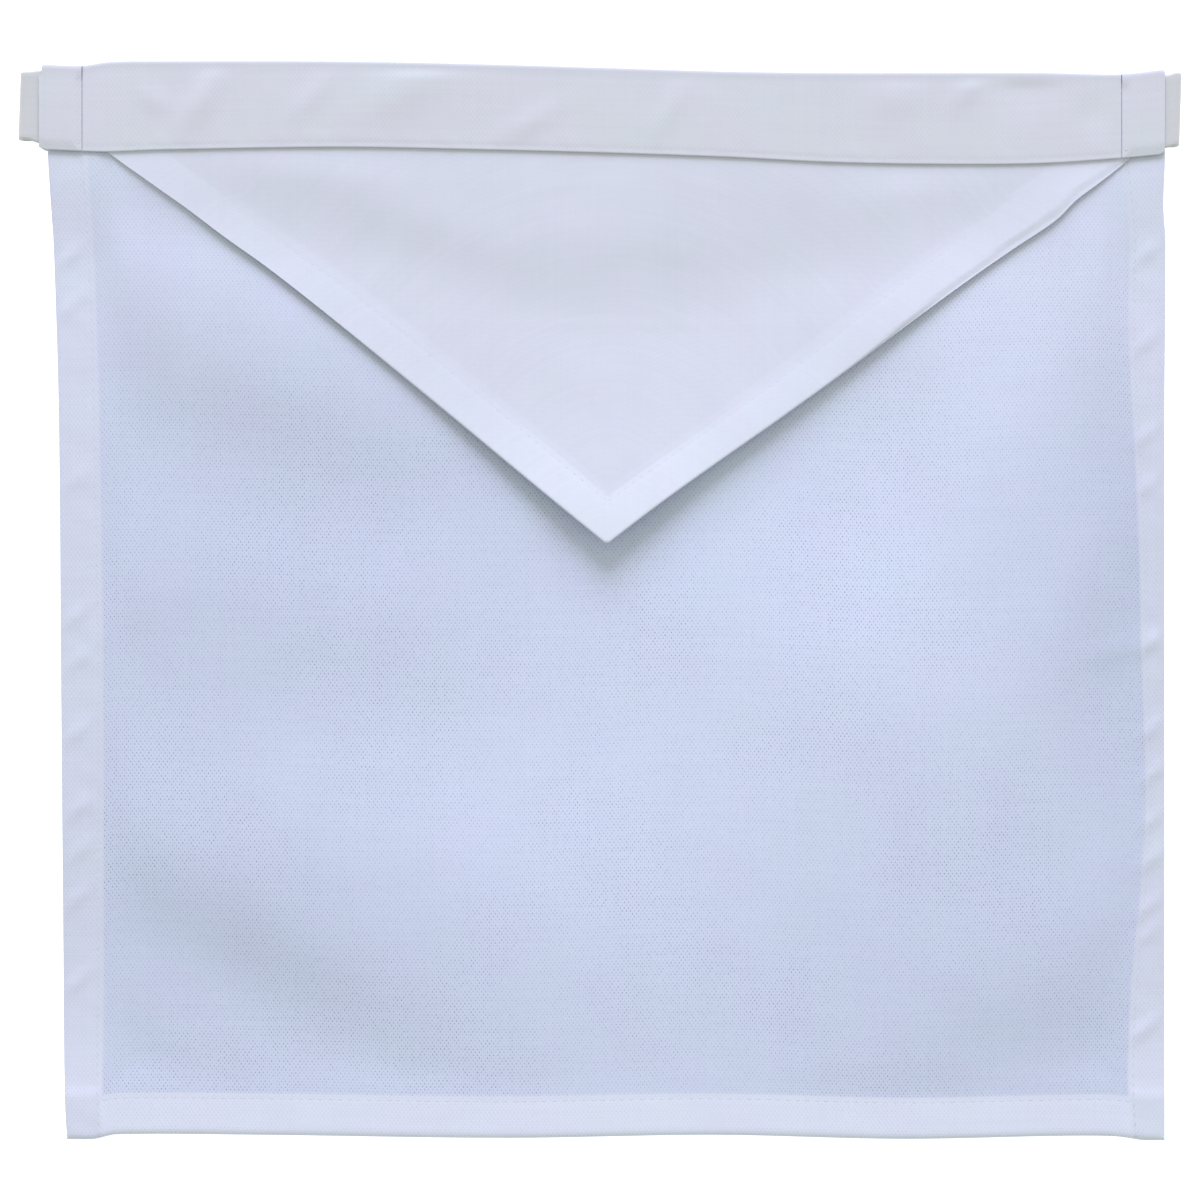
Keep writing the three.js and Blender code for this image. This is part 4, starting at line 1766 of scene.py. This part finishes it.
@dataclass
class EndCasings:
    """The two short casings that hold the elastic's ends, with their stitching."""

    steps: int = 26
    notch: float = 1.0
    stitch_in: float = 2.6

    def strips(self) -> list[CasingStrip]:
        """Sets out both casings.

        Returns:
            The left one and the right one.
        """
        inner, mouth = WAIST.seam + WAIST.seam_gap / 2.0, WAIST.half
        common = (LAYERS.casing_front, self.steps)
        left = ("casing_left_cloth", "end_casing_left", -mouth, -inner, *common)
        right = ("casing_right_cloth", "end_casing_right", inner, mouth, *common)
        return [CasingStrip(*left, mouth=-mouth, notch=self.notch), CasingStrip(*right, mouth=mouth)]

    def stitch_rows(self, strip: CasingStrip) -> list[Grid]:
        """Lays out the stitch lines of one casing.

        Args:
            strip: the casing.

        Returns:
            The lines beside its mouth, beside its seam and along its lower edge.
        """
        inwards = -math.copysign(1.0, strip.mouth)
        height = float(strip.top(strip.mouth) - strip.low(strip.mouth)) - 3.0
        up = np.linspace(self.stitch_in, height, 24)
        rows = []
        for distance in (self.stitch_in, WAIST.casing - 1.7):
            rows.append(strip.surface(np.full_like(up, strip.mouth + inwards * distance), up))
        x = strip.mouth + inwards * np.linspace(3.0, WAIST.casing - 2.0, 14)
        return [*rows, strip.surface(x, np.full_like(x, self.stitch_in))]

    def build(self, wardrobe: Wardrobe) -> None:
        """Makes both casings and their stitching.

        Args:
            wardrobe: the finishes and the stitch tree.
        """
        for strip in self.strips():
            cloth = place(strip.sheet(), strip.node, Slot.BAND, wardrobe.band)
            name = strip.name.replace("cloth", "stitches")
            sewn = STRIP_STITCH.sewn(name, self.stitch_rows(strip), 2.8, 11).build(wardrobe)


@dataclass
class ElasticBelt:
    """The elastic: out of one casing, folded behind, across the back and into the other casing."""

    width: float = 25.4
    past_left: float = 7.3
    past_right: float = 6.0
    stop: float = 4.0
    lean: float = 0.4
    rise_left: tuple[float, float] = (1.3, -0.4)
    rise_right: tuple[float, float] = (0.85, 1.1)

    def middle(self, x: Grid) -> Grid:
        """Height of the waistband's middle at x."""
        return (WAIST.low(x) + WAIST.top(x)) / 2.0

    def path(self) -> tuple[Grid, Grid, Grid, Grid]:
        """The belt's line, from its left end to its right end.

        Returns:
            Its x, the y of its middle, its z at the middle of its thickness, and the direction in which its
            outside faces, as an angle from +X.
        """
        radius = (LAYERS.belt_front + LAYERS.belt) / 2.0
        half, stop = WAIST.half, WAIST.seam + self.stop
        left, right = -half - self.past_left + radius, half + self.past_right - radius
        bends = np.linspace(0.0, np.pi, 25)
        into_left = np.concatenate([np.linspace(-stop, -half, 10), np.linspace(-half, left, 5)[1:-1]])
        into_right = np.concatenate([np.linspace(right, half, 5)[1:-1], np.linspace(half, stop, 10)])
        parts = [
            (into_left, 0.5 * np.pi),
            (left, 0.5 * np.pi + bends),
            (np.linspace(left, right, 90)[1:-1], 1.5 * np.pi),
            (right, 1.5 * np.pi + bends),
            (into_right, 2.5 * np.pi),
        ]
        centres, angles = zip(*(np.broadcast_arrays(*part) for part in parts))
        centre, angle = np.concatenate(centres), np.concatenate(angles)
        reach = radius - LAYERS.belt / 2.0
        x = centre + reach * np.cos(angle)
        z = radius + reach * np.sin(angle)
        straight = mix(self.middle(-half), self.middle(half), np.clip(WAIST.share(x), 0.0, 1.0))
        in_casing = (np.abs(x) < half) & (z > radius)
        return x, np.where(in_casing, self.middle(x), straight), z, angle

    def sheet(self) -> Sheet:
        """Works out both faces of the elastic.

        Returns:
            The belt's sheet.
        """
        x, y, z, angle = self.path()
        half = self.width / 2.0
        edge = [half, half - 0.05, half - 0.3, half - 0.8]
        across = ruled([*edge, *(-place for place in reversed(edge))], [1, 1, 1, 16, 1, 1, 1])[:, None]
        thick = LAYERS.belt / 2.0 * edge_share(half - np.abs(across), 0.6)
        out = np.abs(x) - WAIST.half
        front = z > (LAYERS.belt_front + LAYERS.belt) / 2.0
        bend = np.where(front, smoothstep(out, 0.0, 4.0), bump(np.minimum(out - 5.0, 0.0), 45.0))[None, :]
        share = (across / half + 1.0) / 2.0
        rise = np.where(x[None, :] < 0, mix(*self.rise_left, share), mix(*self.rise_right, share))
        y_all = y[None, :] + across + rise * bend
        slant = self.lean * bend * across / half
        outer = as_points(x + slant + thick * np.cos(angle), y_all, z + thick * np.sin(angle))
        inner = as_points(x + slant - thick * np.cos(angle), y_all, z - thick * np.sin(angle))
        return Sheet("belt_webbing", outer, inner)

    def build(self, wardrobe: Wardrobe) -> None:
        """Makes the elastic in its finish."""
        belt = place(self.sheet(), "elastic_belt", Slot.ELASTIC, wardrobe.elastic)


# Studio


@dataclass
class Studio:
    """The camera, the lights and the white table."""

    frame_width: float = 0.42
    middle_up: float = 0.0005
    focal: float = 85.0
    sensor: float = 36.0
    cloth_level: float = 0.002
    key_energy: float = 131.0
    key_size: float = 2.0
    key_height: float = 24.0
    key_distance: float = 3.6
    key_colour: Colour = (0.955, 0.94, 1.15)
    sky: float = 0.68
    sky_colour: Colour = (1.0, 1.015, 0.88)
    table_reach: float = 4.0
    table_level: float = -0.00015
    table_glow: float = 0.6

    def camera(self) -> None:
        """Sets the camera straight above, with the photograph's frame."""
        data = bpy.data.cameras.new("camera")
        data.lens = self.focal
        data.sensor_width = self.sensor
        data.sensor_fit = "HORIZONTAL"
        data.clip_start = 0.05
        data.clip_end = 20.0
        made = linked("camera", data)
        distance = self.frame_width * self.focal / self.sensor
        made.location = (0.0, self.middle_up, distance + self.cloth_level)
        bpy.context.scene.camera = made

    def lights(self) -> None:
        """Sets one soft light above the waist and an even white sky."""
        data = bpy.data.lights.new("key", "AREA")
        data.shape = "DISK"
        data.size = self.key_size
        data.energy = self.key_energy
        data.color = self.key_colour
        made = linked("key", data)
        height = math.radians(self.key_height)
        direction = Vector((0.0, math.cos(height), math.sin(height)))
        made.location = direction * self.key_distance
        made.rotation_euler = direction.to_track_quat("Z", "Y").to_euler()
        world = bpy.data.worlds.new("sky")
        world.use_nodes = True
        background = world.node_tree.nodes["Background"]
        background.inputs["Color"].default_value = (*self.sky_colour, 1.0)
        background.inputs["Strength"].default_value = self.sky
        bpy.context.scene.world = world

    def table(self) -> None:
        """Lays the white table just under the apron."""
        mesh = bpy.data.meshes.new("table")
        sides = ((-1, -1), (1, -1), (1, 1), (-1, 1))
        corners = [(x * self.table_reach, y * self.table_reach, self.table_level) for x, y in sides]
        mesh.from_pydata(corners, [], [(0, 1, 2, 3)])
        made = linked("table", mesh)
        paper, nodes = new_material("white paper")
        spot = nodes.add("ShaderNodeTexCoord", {})["Object"]
        nodes.surface(
            {
                "Base Color": nodes.grey(nodes.ramp(nodes.noise(spot, 3.0), 0.2, 0.8, 0.93, 0.97)),
                "Roughness": 0.9,
                "Emission Color": (1.0, 1.0, 1.0, 1.0),
                "Emission Strength": self.table_glow,
            }
        )
        mesh.materials.append(paper)
        made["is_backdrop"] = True

    def build(self) -> None:
        """Sets up the whole studio."""
        self.camera()
        self.lights()
        self.table()
        view = bpy.context.scene.view_settings
        view.view_transform = "Standard"
        view.look = "None"
        view.exposure = 0.0
        view.gamma = 1.0


def corners(box: tuple[Vector, Vector]) -> list[list[float]]:
    """A box's two corners as plain numbers."""
    return [[float(value) for value in corner] for corner in box]


def main() -> None:
    """Builds the apron and its studio."""
    logging.basicConfig(level=logging.INFO, format="%(name)s %(message)s")
    packed = corners(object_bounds())
    Studio().build()
    wardrobe = Wardrobe.make()
    for piece in (ApronPanel(), Flap(), Waistband(), EndCasings(), ElasticBelt()):
        piece.build(wardrobe)
    json.dumps({"packed": packed, "visual": corners(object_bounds())})


if __name__ == "__main__":
    main()
